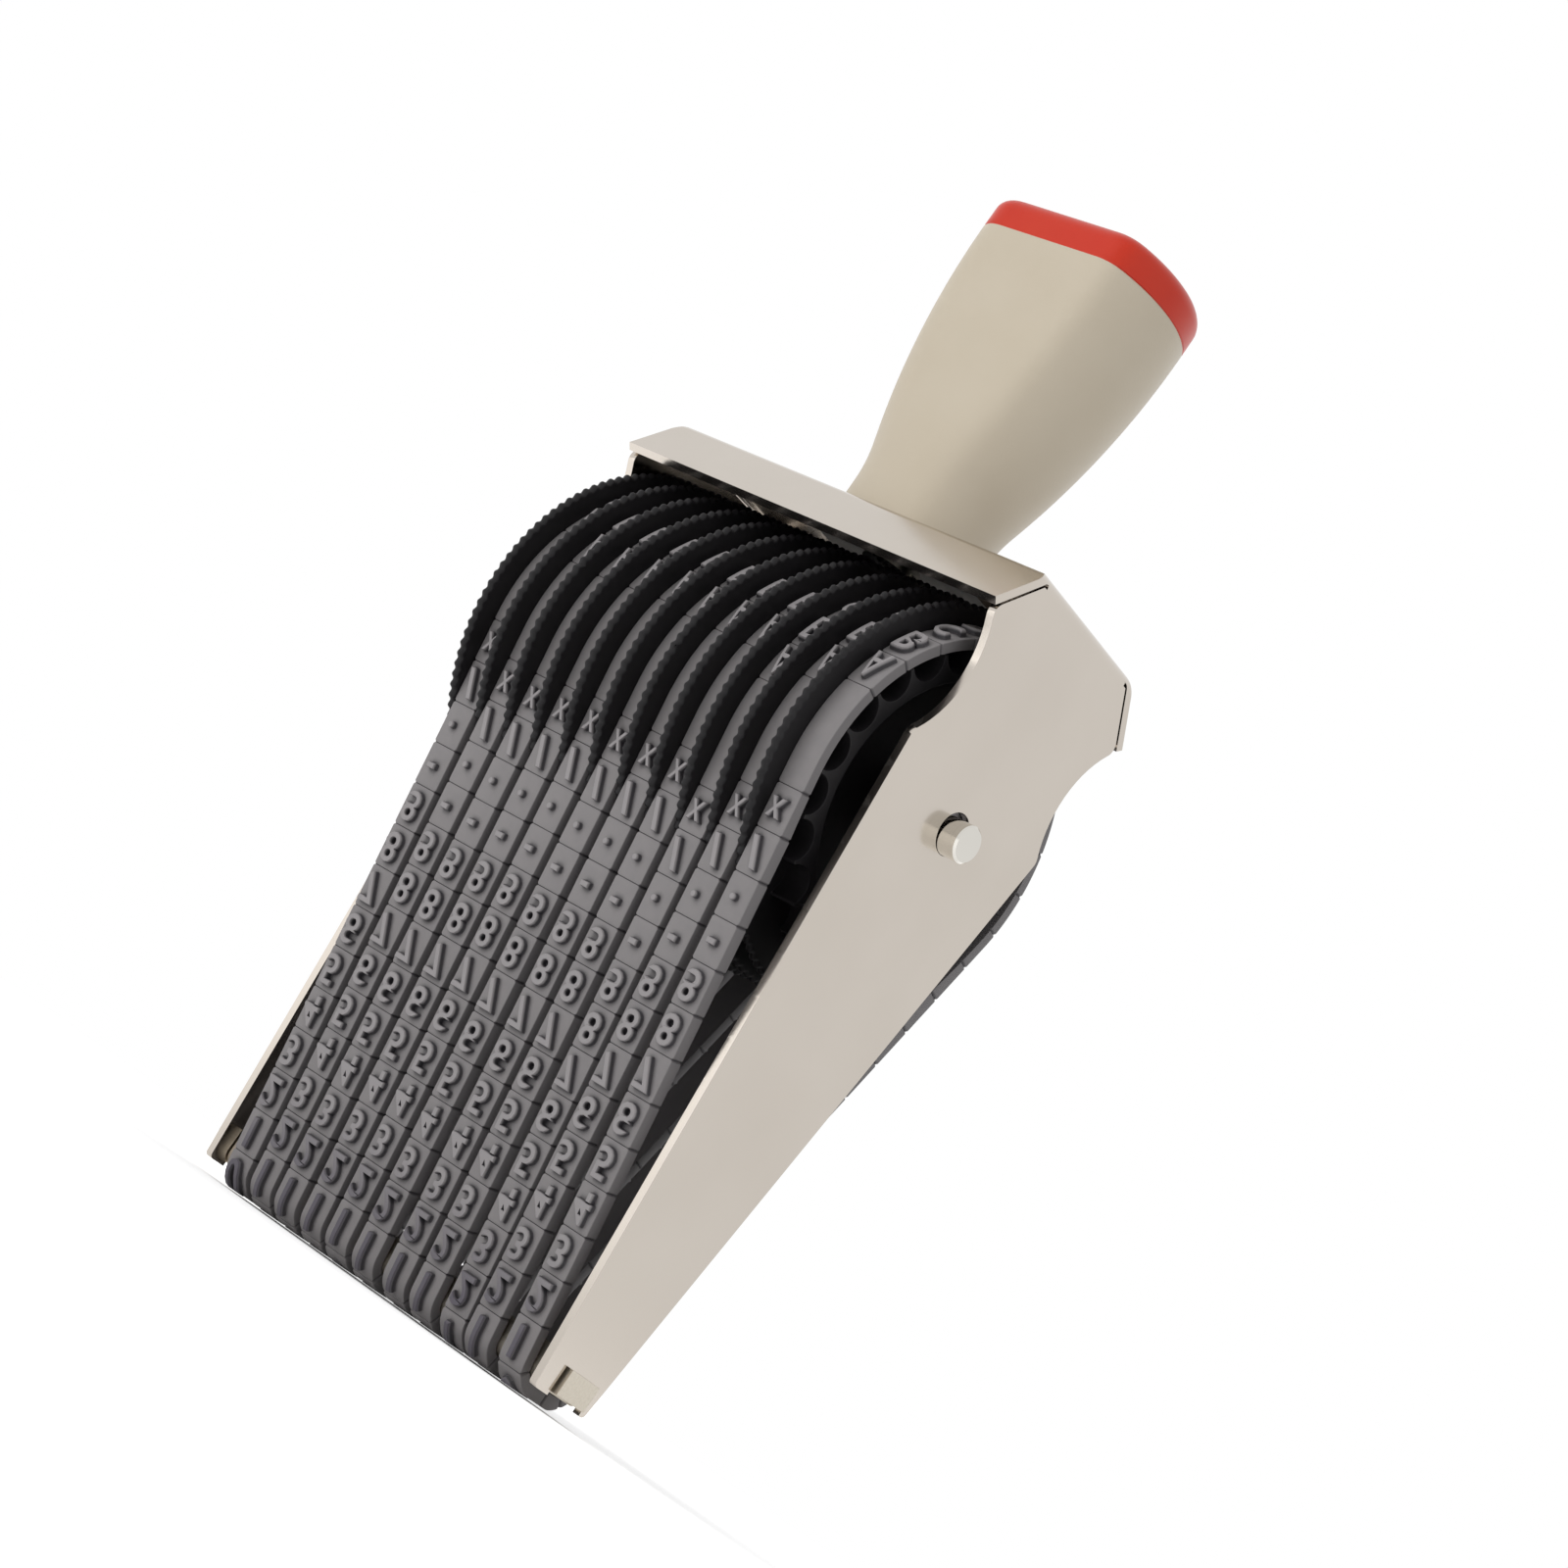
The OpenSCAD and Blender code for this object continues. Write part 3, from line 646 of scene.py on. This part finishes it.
# %% Helpers for edit mode
def begin_edit(kind="FACE"):
    """Enters edit mode with everything selected."""
    bpy.ops.object.mode_set(mode="EDIT")
    bpy.ops.mesh.select_mode(type=kind)
    bpy.ops.mesh.select_all(action="SELECT")


def pick(piece, kind, test):
    """In edit mode, selects the faces or edges that pass the test."""
    bpy.ops.mesh.select_mode(type=kind)
    bpy.ops.mesh.select_all(action="DESELECT")
    mesh = bmesh.from_edit_mesh(piece.data)
    for part in mesh.faces if kind == "FACE" else mesh.edges:
        part.select_set(bool(test(part)))
    bmesh.update_edit_mesh(piece.data)


def cut_across(length, step):
    """In edit mode, cuts everything across Y at even steps, so that it can bend."""
    count = max(1, round(length / step))
    for i in range(1, count):
        bpy.ops.mesh.select_all(action="SELECT")
        bpy.ops.mesh.bisect(plane_co=(0, i * length / count * MM, 0), plane_no=(0, 1, 0))


bend_step = 0.36
print("a cell gets", round(cell_len / bend_step) - 1, "cuts")

# %% [markdown]
# One cell is a cube at the size of a pad. Its upright edges are bevelled, which leaves a notch in the band's sides
# where two cells meet, and its upper edges are rounded, which leaves a groove across. The end faces go, so that cells
# can be welded. Each pad could be a piece of its own on a smooth band, but a real band is moulded in one.

# %% One flat cell
notch, pad_round = 0.22, 0.13


def make_cell(name, cells):
    """A stretch of flat band with eased upper edges, a groove at each end and notches at its corners."""
    length = cells * cell_len
    bpy.ops.object.select_all(action="DESELECT")
    bpy.ops.mesh.primitive_cube_add(size=1)
    piece = bpy.context.object
    piece.name = name
    piece.scale = (band_w * MM, length * MM, band_t * MM)
    piece.location = (band_w / 2 * MM, length / 2 * MM, band_t / 2 * MM)
    bpy.ops.object.transform_apply(location=True, rotation=True, scale=True)
    begin_edit("EDGE")
    pick(piece, "EDGE", lambda e: abs(e.verts[0].co.z - e.verts[1].co.z) > 0.5 * MM)
    bpy.ops.mesh.bevel(offset=notch * MM, segments=1, affect="EDGES")
    pick(piece, "EDGE", lambda e: min(v.co.z for v in e.verts) > (band_t - 0.01) * MM)
    bpy.ops.mesh.bevel(offset=pad_round * MM, segments=2, affect="EDGES")
    pick(piece, "FACE", lambda f: abs(f.normal.y) > 0.99)
    bpy.ops.mesh.delete(type="FACE")
    cut_across(length, bend_step)
    bpy.ops.object.mode_set(mode="OBJECT")
    return piece


print("a pad is", band_w, "by", round(cell_len, 2), "by", band_t, "mm")

# %% [markdown]
# The order along a band is figures, signs, a blank stretch, letters, and half a cell where the band was joined. An
# Array modifier repeats a cell and welds the copies, so that the strip is one skin.

# %% Rows of cells
weld = 0.001 * MM


def repeat(piece, count, first):
    """Repeats a cell along Y, welds its copies and moves the row to its first cell's place."""
    row = piece.modifiers.new("row", "ARRAY")
    row.count = count
    row.use_relative_offset = False
    row.use_constant_offset = True
    row.constant_offset_displace = (0, cell_len * MM, 0)
    row.use_merge_vertices = True
    row.merge_threshold = weld
    bpy.ops.object.modifier_apply(modifier=row.name)
    piece.location = (0, first * cell_len * MM, 0)
    bpy.ops.object.transform_apply(location=True, rotation=False, scale=False)
    return piece


figures, signs, letters = "0123456789", "-./x", "ABCDEFGHIJKLMNOPQRSTUVWXYZ"
head_n, blank_n = len(figures + signs), 2.5
rows = [
    repeat(make_cell("figure_cells", 1), head_n, 0),
    repeat(make_cell("blank_stretch", blank_n), 1, head_n),
    repeat(make_cell("letter_cells", 1), len(letters), head_n + blank_n),
    repeat(make_cell("joint_stretch", 0.5), 1, head_n + blank_n + len(letters)),
]
print("flat stretches:", [len(o.data.polygons) for o in rows], "faces")

# %% [markdown]
# The characters are mirror type, because they print: on the front of the stamp each one stands on its head. They come
# from a text object with bolder strokes, flipped along the band. The font's M, 6 and 9 fold over when they are made
# bolder, so M is a W that isn't flipped, and 6 and 9 are an 8 with one loop cut open by a Boolean. A 1 is a plain
# stroke, so an I stands for it. The gap's size and place are shares of the 8's width and height.

# %% Opening an 8
drawn_as = {"1": "I", "M": "W", "6": "8", "9": "8"}
open_side = {"6": 1, "9": -1}
gap_w, gap_h, gap_x, gap_y = 0.6, 0.21, 0.36, 0.195


def open_loop(piece, side, wide, tall):
    """Cuts a gap into one loop of an 8, at the upper right for a 6 or the lower left for a 9."""
    bpy.ops.mesh.primitive_cube_add(size=1)
    gap = bpy.context.object
    gap.scale = (gap_w * wide * MM, gap_h * tall * MM, MM)
    gap.location = (side * gap_x * wide * MM, side * gap_y * tall * MM, 0)
    bpy.ops.object.transform_apply(location=True, rotation=True, scale=True)
    gap.select_set(False)
    piece.select_set(True)
    bpy.context.view_layer.objects.active = piece
    cut = piece.modifiers.new("gap", "BOOLEAN")
    cut.operation = "DIFFERENCE"
    cut.object = gap
    bpy.ops.object.modifier_apply(modifier=cut.name)
    bpy.data.objects.remove(gap)


print("drawn as another character:", drawn_as)

# %% [markdown]
# The text is made a mesh and moved to its middle, so that it can be scaled to its pad: letters and figures to one
# height, each sign to its own size. Scaling the text object alone would leave the signs too small, because a font
# draws them for reading, not for printing one by one.

# %% A character's outline
type_w, type_tall, text_size, bolder, type_base = 2.6, 3.8, 5.2, 0.15, 0.2
sign_sizes = {"-": (1.3, 0.75), ".": (0.85, 0.85), "x": (2.2, 2.4), "/": (2.2, 3.7)}


def make_outline(sign):
    """A low character as a mesh round the origin, fitted to its pad and flipped; it is left in edit mode."""
    bpy.ops.object.select_all(action="DESELECT")
    bpy.ops.object.text_add()
    text = bpy.context.object
    text.data.body = drawn_as.get(sign, sign)
    text.data.size = text_size * MM
    text.data.resolution_u = 3
    text.data.extrude = type_base * MM
    text.data.offset = bolder * MM
    bpy.ops.object.convert(target="MESH")
    piece = bpy.context.object
    at = np.array([v.co for v in piece.data.vertices]) / MM
    low, high = at.min(0), at.max(0)
    wide, tall = high[0] - low[0], high[1] - low[1]
    fit_y = type_tall / tall
    fit_x = min(fit_y, type_w / wide)
    if sign in sign_sizes:
        fit_x, fit_y = sign_sizes[sign][0] / wide, sign_sizes[sign][1] / tall
    begin_edit()
    bpy.ops.mesh.remove_doubles(threshold=2 * weld)
    bpy.ops.transform.translate(value=[-c * MM for c in (low + high) / 2])
    if sign in open_side:
        bpy.ops.mesh.normals_make_consistent(inside=False)
        bpy.ops.object.mode_set(mode="OBJECT")
        open_loop(piece, open_side[sign], wide, tall)
        begin_edit()
    flip = 1 if sign == "M" else -1
    bpy.ops.transform.resize(value=(fit_x, flip * fit_y, 1), center_override=(0, 0, 0))
    bpy.ops.mesh.normals_make_consistent(inside=False)
    return piece


print("characters are up to", type_w, "by", type_tall, "mm")

# %% [markdown]
# Moulded type has a sloping shoulder and a rounded top, because it has to leave its mould. A taller extrusion would
# have upright walls. Two insets of the upper face, each with some depth, give the slope and then the round. Like the
# cells, a character is cut across a few times, so that it can bend with the band.

# %% Raised characters
shoulder, crown = (0.05, 0.3), (0.06, 0.15)
type_up, bend_cuts, cut_step = 0.1, 3, 0.5


def make_character(sign, cell):
    """A raised character in the middle of a cell, counted from the first cell's start."""
    piece = make_outline(sign)
    piece.name = "type_" + str(cell)
    middle_y = (cell + 0.5) * cell_len
    bpy.ops.transform.translate(value=(band_w / 2 * MM, middle_y * MM, (band_t + type_up) * MM))
    for thick, deep in (shoulder, crown):
        pick(piece, "FACE", lambda f: f.normal.z > 0.9)
        bpy.ops.mesh.inset(thickness=thick * MM, depth=deep * MM)
    for i in range(-bend_cuts, bend_cuts + 1):
        bpy.ops.mesh.select_all(action="SELECT")
        bpy.ops.mesh.bisect(plane_co=(0, (middle_y + i * cut_step) * MM, 0), plane_no=(0, 1, 0))
    bpy.ops.object.mode_set(mode="OBJECT")
    return piece


raised = [make_character(c, i) for i, c in enumerate(figures + signs)]
raised += [make_character(c, head_n + blank_n + i) for i, c in enumerate(letters)]
print("characters:", len(raised), "with", sum(len(o.data.polygons) for o in raised), "faces")

# %% [markdown]
# Cells and characters are joined to one strip. Its heights are stored while it is still flat, because after wrapping
# they would be hard to tell.

# %% The flat strip
bpy.ops.object.select_all(action="DESELECT")
for part in rows + raised:
    part.select_set(True)
strip = rows[0]
bpy.context.view_layer.objects.active = strip
bpy.ops.object.join()
strip.name = "flat_strip"
begin_edit("VERT")
bpy.ops.mesh.remove_doubles(threshold=weld)
bpy.ops.object.mode_set(mode="OBJECT")
flat = np.array([v.co for v in strip.data.vertices]) / MM
heights = strip.data.attributes.new("lift", "FLOAT", "POINT")
heights.data.foreach_set("value", flat[:, 2].astype(np.float32))
strip.data.materials.clear()
strip.data.materials.append(rubber)
print("strip:", len(strip.data.polygons), "faces, up to", round(float(flat[:, 2].max()), 2), "mm high")

# %% [markdown]
# Each band gets a copy of the strip. How far it has been run on was read from the photograph: it is the way in mm
# from the end of the tight turn at the bar up to the middle of the band's figure 1. Below the wheels no rim guides a
# band, so on the front each one wanders a little to one side on its way down to the bar, and the gaps become uneven.
# Behind the bar it soon runs straight again. Eleven even bands would be simpler, but they would look printed.

# %% Eleven wrapped bands
run_on = [3.9, 0.6, 0.4, 0.7, 1.0, 0.5, 0.5, 0.5, -2.4, 0.0, 1.7]
wander = [-0.1, -0.35, -0.65, -0.6, -0.85, -0.85, -0.15, -0.3, 0.2, -0.5, 0.3]
front_free, back_free = 62.0, 10.0
first_x, pitch = -26.92, 4.95
one_y = (figures.index("1") + 0.5) * cell_len
for i, (shift, aside) in enumerate(zip(run_on, wander)):
    bpy.ops.object.select_all(action="DESELECT")
    strip.select_set(True)
    bpy.context.view_layer.objects.active = strip
    bpy.ops.object.duplicate()
    band = bpy.context.object
    band.name = f"type_band_{i + 1:02d}"
    y, z = on_path(flat[:, 1] + run_from + shift - one_y, flat[:, 2])
    free = np.clip(1 - z / np.where(y < 0, front_free, back_free), 0, 1)
    x = flat[:, 0] + first_x + i * pitch + aside * free
    wrapped = np.column_stack([x, y, z]) * MM
    band.data.vertices.foreach_set("co", wrapped.ravel())
    begin_edit("VERT")
    bpy.ops.mesh.remove_doubles(threshold=weld)
    bpy.ops.object.mode_set(mode="OBJECT")
    bpy.ops.object.shade_smooth_by_angle(angle=math.radians(35))
    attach(band, "stamp")
    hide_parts(f"band_{i + 1:02d}")
bpy.data.objects.remove(strip)
print("a band has", len(band.data.polygons), "faces")

# %% [markdown]
# ## Handle and cap
#
# The handle is a turned form with two flats, moulded with soft edges where the flats run out into the round. The
# CAD handle has sharp edges there, and a bevel can't follow edges that fade out. So the outline is spun round the
# axis, and each point that lies outside a flat is then pressed in with a smooth limit, which leaves a rounded edge.
# The cap is made the same way. First come the sizes, which are those of the CAD handle.

# %% Sizes of the handle, in mm
top_z, body_h, cap_h = 104.1, 38.0, 4.5
neck_r, neck_h, hollow_r, grip_r = 9.2, 3.2, 20.0, 14.0
flat_top, flat_neck, cap_edge = 10.0, 7.9, 2.0
screw_r, screw_reach, plug_r, plug_len, fit = 2.0, 14.0, 6.0, 6.0, 0.04
ease, edge_soft = 0.15, 1.7
body_top = top_z + body_h
cap_top = body_top + cap_h
neck_top = top_z + neck_h
swell_rise = body_top - neck_top
swell_in = neck_r + hollow_r - grip_r
swell_r = (swell_in**2 + swell_rise**2 - hollow_r**2) / (2 * (grip_r - neck_r))
meet_z = neck_top + hollow_r / (hollow_r + swell_r) * swell_rise
flat_in = flat_top - flat_neck
flat_r = (body_h**2 + flat_in**2) / (2 * flat_in)
print("the neck's hollow meets the swell at", round(meet_z, 1), "mm, radius", round(swell_r, 1), "mm")

# %% [markdown]
# Two small functions give the outline: the radius at a height, and how far the flats lie from the axis there.

# %% Outlines of the handle
def handle_radius(z):
    """Radius of the handle at a height: straight neck, hollow, then a long swell."""
    if z <= neck_top:
        return neck_r
    if z <= meet_z:
        return neck_r + hollow_r - math.sqrt(hollow_r**2 - (z - neck_top) ** 2)
    return grip_r - swell_r + math.sqrt(swell_r**2 - (body_top - z) ** 2)


def flat_depth(z):
    """Half depth between the flats at a height, up over the cap's rounded edge."""
    if z <= body_top:
        return flat_top - flat_r + math.sqrt(flat_r**2 - (body_top - z) ** 2)
    over = max(0.0, z - (cap_top - cap_edge))
    return flat_top - cap_edge + math.sqrt(max(0.0, cap_edge**2 - over**2))


print("half way up:", round(handle_radius(top_z + body_h / 2), 2), "mm radius")

# %% [markdown]
# Spin turns the outline to a closed skin, as a lathe does. The smooth limit blends a point's own depth with the
# flat's over 1.7 mm on both sides of the edge, so the flats stay flat and the round stays round.

# %% Turn and press
spin_steps = 160


def turn_and_press(name, outline):
    """Spins an outline of (radius, height) points and presses the two flats in with rounded edges."""
    bpy.ops.object.select_all(action="DESELECT")
    bpy.ops.mesh.primitive_plane_add(size=1)
    piece = bpy.context.object
    piece.name = name
    begin_edit("VERT")
    bpy.ops.mesh.delete(type="VERT")
    mesh = bmesh.from_edit_mesh(piece.data)
    points = [mesh.verts.new((r * MM, 0, z * MM)) for r, z in outline]
    for a, b in zip(points, points[1:]):
        mesh.edges.new((a, b))
    bmesh.update_edit_mesh(piece.data)
    bpy.ops.mesh.select_all(action="SELECT")
    bpy.ops.mesh.spin(steps=spin_steps, angle=2 * math.pi, center=(0, 0, 0), axis=(0, 0, 1))
    bpy.ops.mesh.select_all(action="SELECT")
    bpy.ops.mesh.remove_doubles(threshold=weld)
    bpy.ops.mesh.normals_make_consistent(inside=False)
    mesh = bmesh.from_edit_mesh(piece.data)
    for v in mesh.verts:
        deep, limit = abs(v.co.y) / MM, flat_depth(v.co.z / MM)
        soft = max(0.0, min(1.0, 0.5 + (limit - deep) / (2 * edge_soft)))
        pressed = limit + (deep - limit) * soft - edge_soft * soft * (1 - soft)
        v.co.y = math.copysign(pressed * MM, v.co.y)
    bmesh.update_edit_mesh(piece.data)
    bpy.ops.object.mode_set(mode="OBJECT")
    bpy.ops.object.shade_smooth_by_angle(angle=math.radians(40))
    return piece


print("one step of the spin is", 360 / spin_steps, "degrees")

# %% [markdown]
# The handle is hollow where the real one is: a bore for the screw from below and a seat for the cap's plug from
# above. Nobody sees them in the picture, but the mesh is a result too, and the CAD handle has them.

# %% Handle body
side_n = 48
bore_top, seat_z = top_z + screw_reach + 1, body_top - plug_len - fit
levels = [top_z + ease + (body_h - 2 * ease) * i / side_n for i in range(side_n + 1)]
outline = [(0.0, bore_top), (screw_r + fit, bore_top), (screw_r + fit, top_z), (neck_r - ease, top_z)]
outline += [(handle_radius(z), z) for z in levels]
outline += [(grip_r - ease, body_top), (plug_r + fit, body_top), (plug_r + fit, seat_z), (0.0, seat_z)]
grip = turn_and_press("handle_grip", outline)
grip.data.materials.append(cream_abs)
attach(grip, "stamp")
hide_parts("handle_body")
print("handle:", len(grip.data.polygons), "faces")

# %% [markdown]
# The cap is a disc with a plug below and a rounded upper edge, a quarter circle in eight steps. A bevel would round
# it too, but the outline is there already.

# %% Handle cap
edge_n = 8
plug_z = body_top - plug_len
outline = [(0.0, plug_z), (plug_r, plug_z), (plug_r, body_top), (grip_r - ease, body_top)]
outline += [(grip_r, body_top + ease + (cap_h - cap_edge - ease) * i / 4) for i in range(5)]
for i in range(1, edge_n + 1):
    a = math.pi / 2 * i / edge_n
    outline.append((grip_r - cap_edge * (1 - math.cos(a)), cap_top - cap_edge * (1 - math.sin(a))))
outline += [(r, cap_top) for r in (9.0, 6.0, 3.0, 0.0)]
cap = turn_and_press("handle_top_cap", outline)
cap.data.materials.append(red_abs)
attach(cap, "stamp")
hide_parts("handle_cap")
print("cap:", len(cap.data.polygons), "faces")

# %% [markdown]
# ## Eased metal and wheels
#
# Pressed sheet and moulded teeth have no razor edges: a tenth of a millimetre of round on each edge is what catches
# the light. A wheel's teeth are rounder than that, almost beads, so the rim's two outlines are bevelled first, and
# then the tips and roots of the teeth. Two tests find those edges by their place: the toothed zone begins a little
# inside the roots, and an edge that runs round the rim changes its angle at the axle.

# %% Finding the teeth
tooth_zone_r = 23.3


def at_teeth(edge):
    """Whether an edge lies in the toothed zone of a rim."""
    return min(math.hypot(v.co.y, v.co.z - axle_z * MM) for v in edge.verts) > tooth_zone_r * MM


def runs_round(edge):
    """Whether an edge runs round the rim, not over it from side to side."""
    a, b = (math.atan2(v.co.z - axle_z * MM, v.co.y) for v in edge.verts)
    return abs(a - b) > 0.002


print("teeth lie beyond", tooth_zone_r, "mm from the axle")

# %% [markdown]
# The CAD shapes are right, so each piece starts from a copy of its CAD mesh, and only its edges change. The copy's
# loose triangles are merged, flat areas are dissolved to whole faces, and a Bevel modifier rounds what is left of the
# sharp edges. Weighted normals then keep the large faces flat. Building the pieces again would give the same shapes
# with more room for error.

# %% Easing a piece
rim_round, tooth_round, sharp = 0.4, 0.18, math.radians(32)


def eased(node, name, width, finish, body):
    """A copy of a CAD node with its sharp edges rounded, standing for that node."""
    piece = bpy.data.objects.new(name, cad_nodes[node].data.copy())
    bpy.context.scene.collection.objects.link(piece)
    bpy.ops.object.select_all(action="DESELECT")
    piece.select_set(True)
    bpy.context.view_layer.objects.active = piece
    bpy.ops.mesh.customdata_custom_splitnormals_clear()
    begin_edit("VERT")
    bpy.ops.mesh.remove_doubles(threshold=weld / 2)
    bpy.ops.mesh.dissolve_limited(angle_limit=math.radians(0.5))
    if finish is black_abs:
        pick(piece, "EDGE", lambda e: at_teeth(e) and runs_round(e) and e.calc_face_angle(0) > 1)
        bpy.ops.mesh.bevel(offset=rim_round * MM, segments=3, affect="EDGES", clamp_overlap=True)
        pick(piece, "EDGE", lambda e: at_teeth(e) and not runs_round(e))
        bpy.ops.mesh.bevel(offset=tooth_round * MM, segments=2, affect="EDGES", clamp_overlap=True)
    bpy.ops.object.mode_set(mode="OBJECT")
    rounding = piece.modifiers.new("eased_edges", "BEVEL")
    rounding.width = width * MM
    rounding.segments = 2
    rounding.limit_method = "ANGLE"
    rounding.angle_limit = sharp
    bpy.ops.object.modifier_apply(modifier=rounding.name)
    bpy.ops.object.shade_smooth_by_angle(angle=sharp)
    steady = piece.modifiers.new("steady_faces", "WEIGHTED_NORMAL")
    steady.keep_sharp = True
    bpy.ops.object.modifier_apply(modifier=steady.name)
    piece.data.materials.clear()
    piece.data.materials.append(finish)
    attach(piece, body)
    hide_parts(node)
    return piece


print("a rim's outlines are rounded by", rim_round, "mm, its teeth by", tooth_round, "mm")

# %% [markdown]
# The frame and the bar stay with the stamp's body. Each wheel rides on its own body, so that it turns on the axle.

# %% Frame, platen and wheels
sheet = eased("frame", "bent_frame", 0.12, nickel, "stamp")
bar = eased("platen", "platen_bar", 0.15, drawn_zinc, "stamp")
for i in range(1, 12):
    wheel = eased(f"wheel_{i:02d}", f"thumb_wheel_{i:02d}", 0.14, black_abs, f"wheel_{i:02d}")
print("faces: frame", len(sheet.data.polygons), "bar", len(bar.data.polygons), "wheel", len(wheel.data.polygons))

# %% [markdown]
# ## The CAD pieces that stay
#
# The axle has its bevels already, and the clips, the sleeve and the fixing pieces are hardly seen. They keep their
# CAD meshes and take their materials.

# %% Finishes on CAD nodes
kept = {
    "axle": pin_steel,
    "clip_left": spring_steel,
    "clip_right": spring_steel,
    "axle_sleeve": black_abs,
    "handle_plate": shaded_dull_nickel,
    "handle_screw": pin_steel,
}
for node, finish in kept.items():
    cad_nodes[node].data.materials.clear()
    cad_nodes[node].data.materials.append(finish)
print("CAD meshes kept:", list(kept))
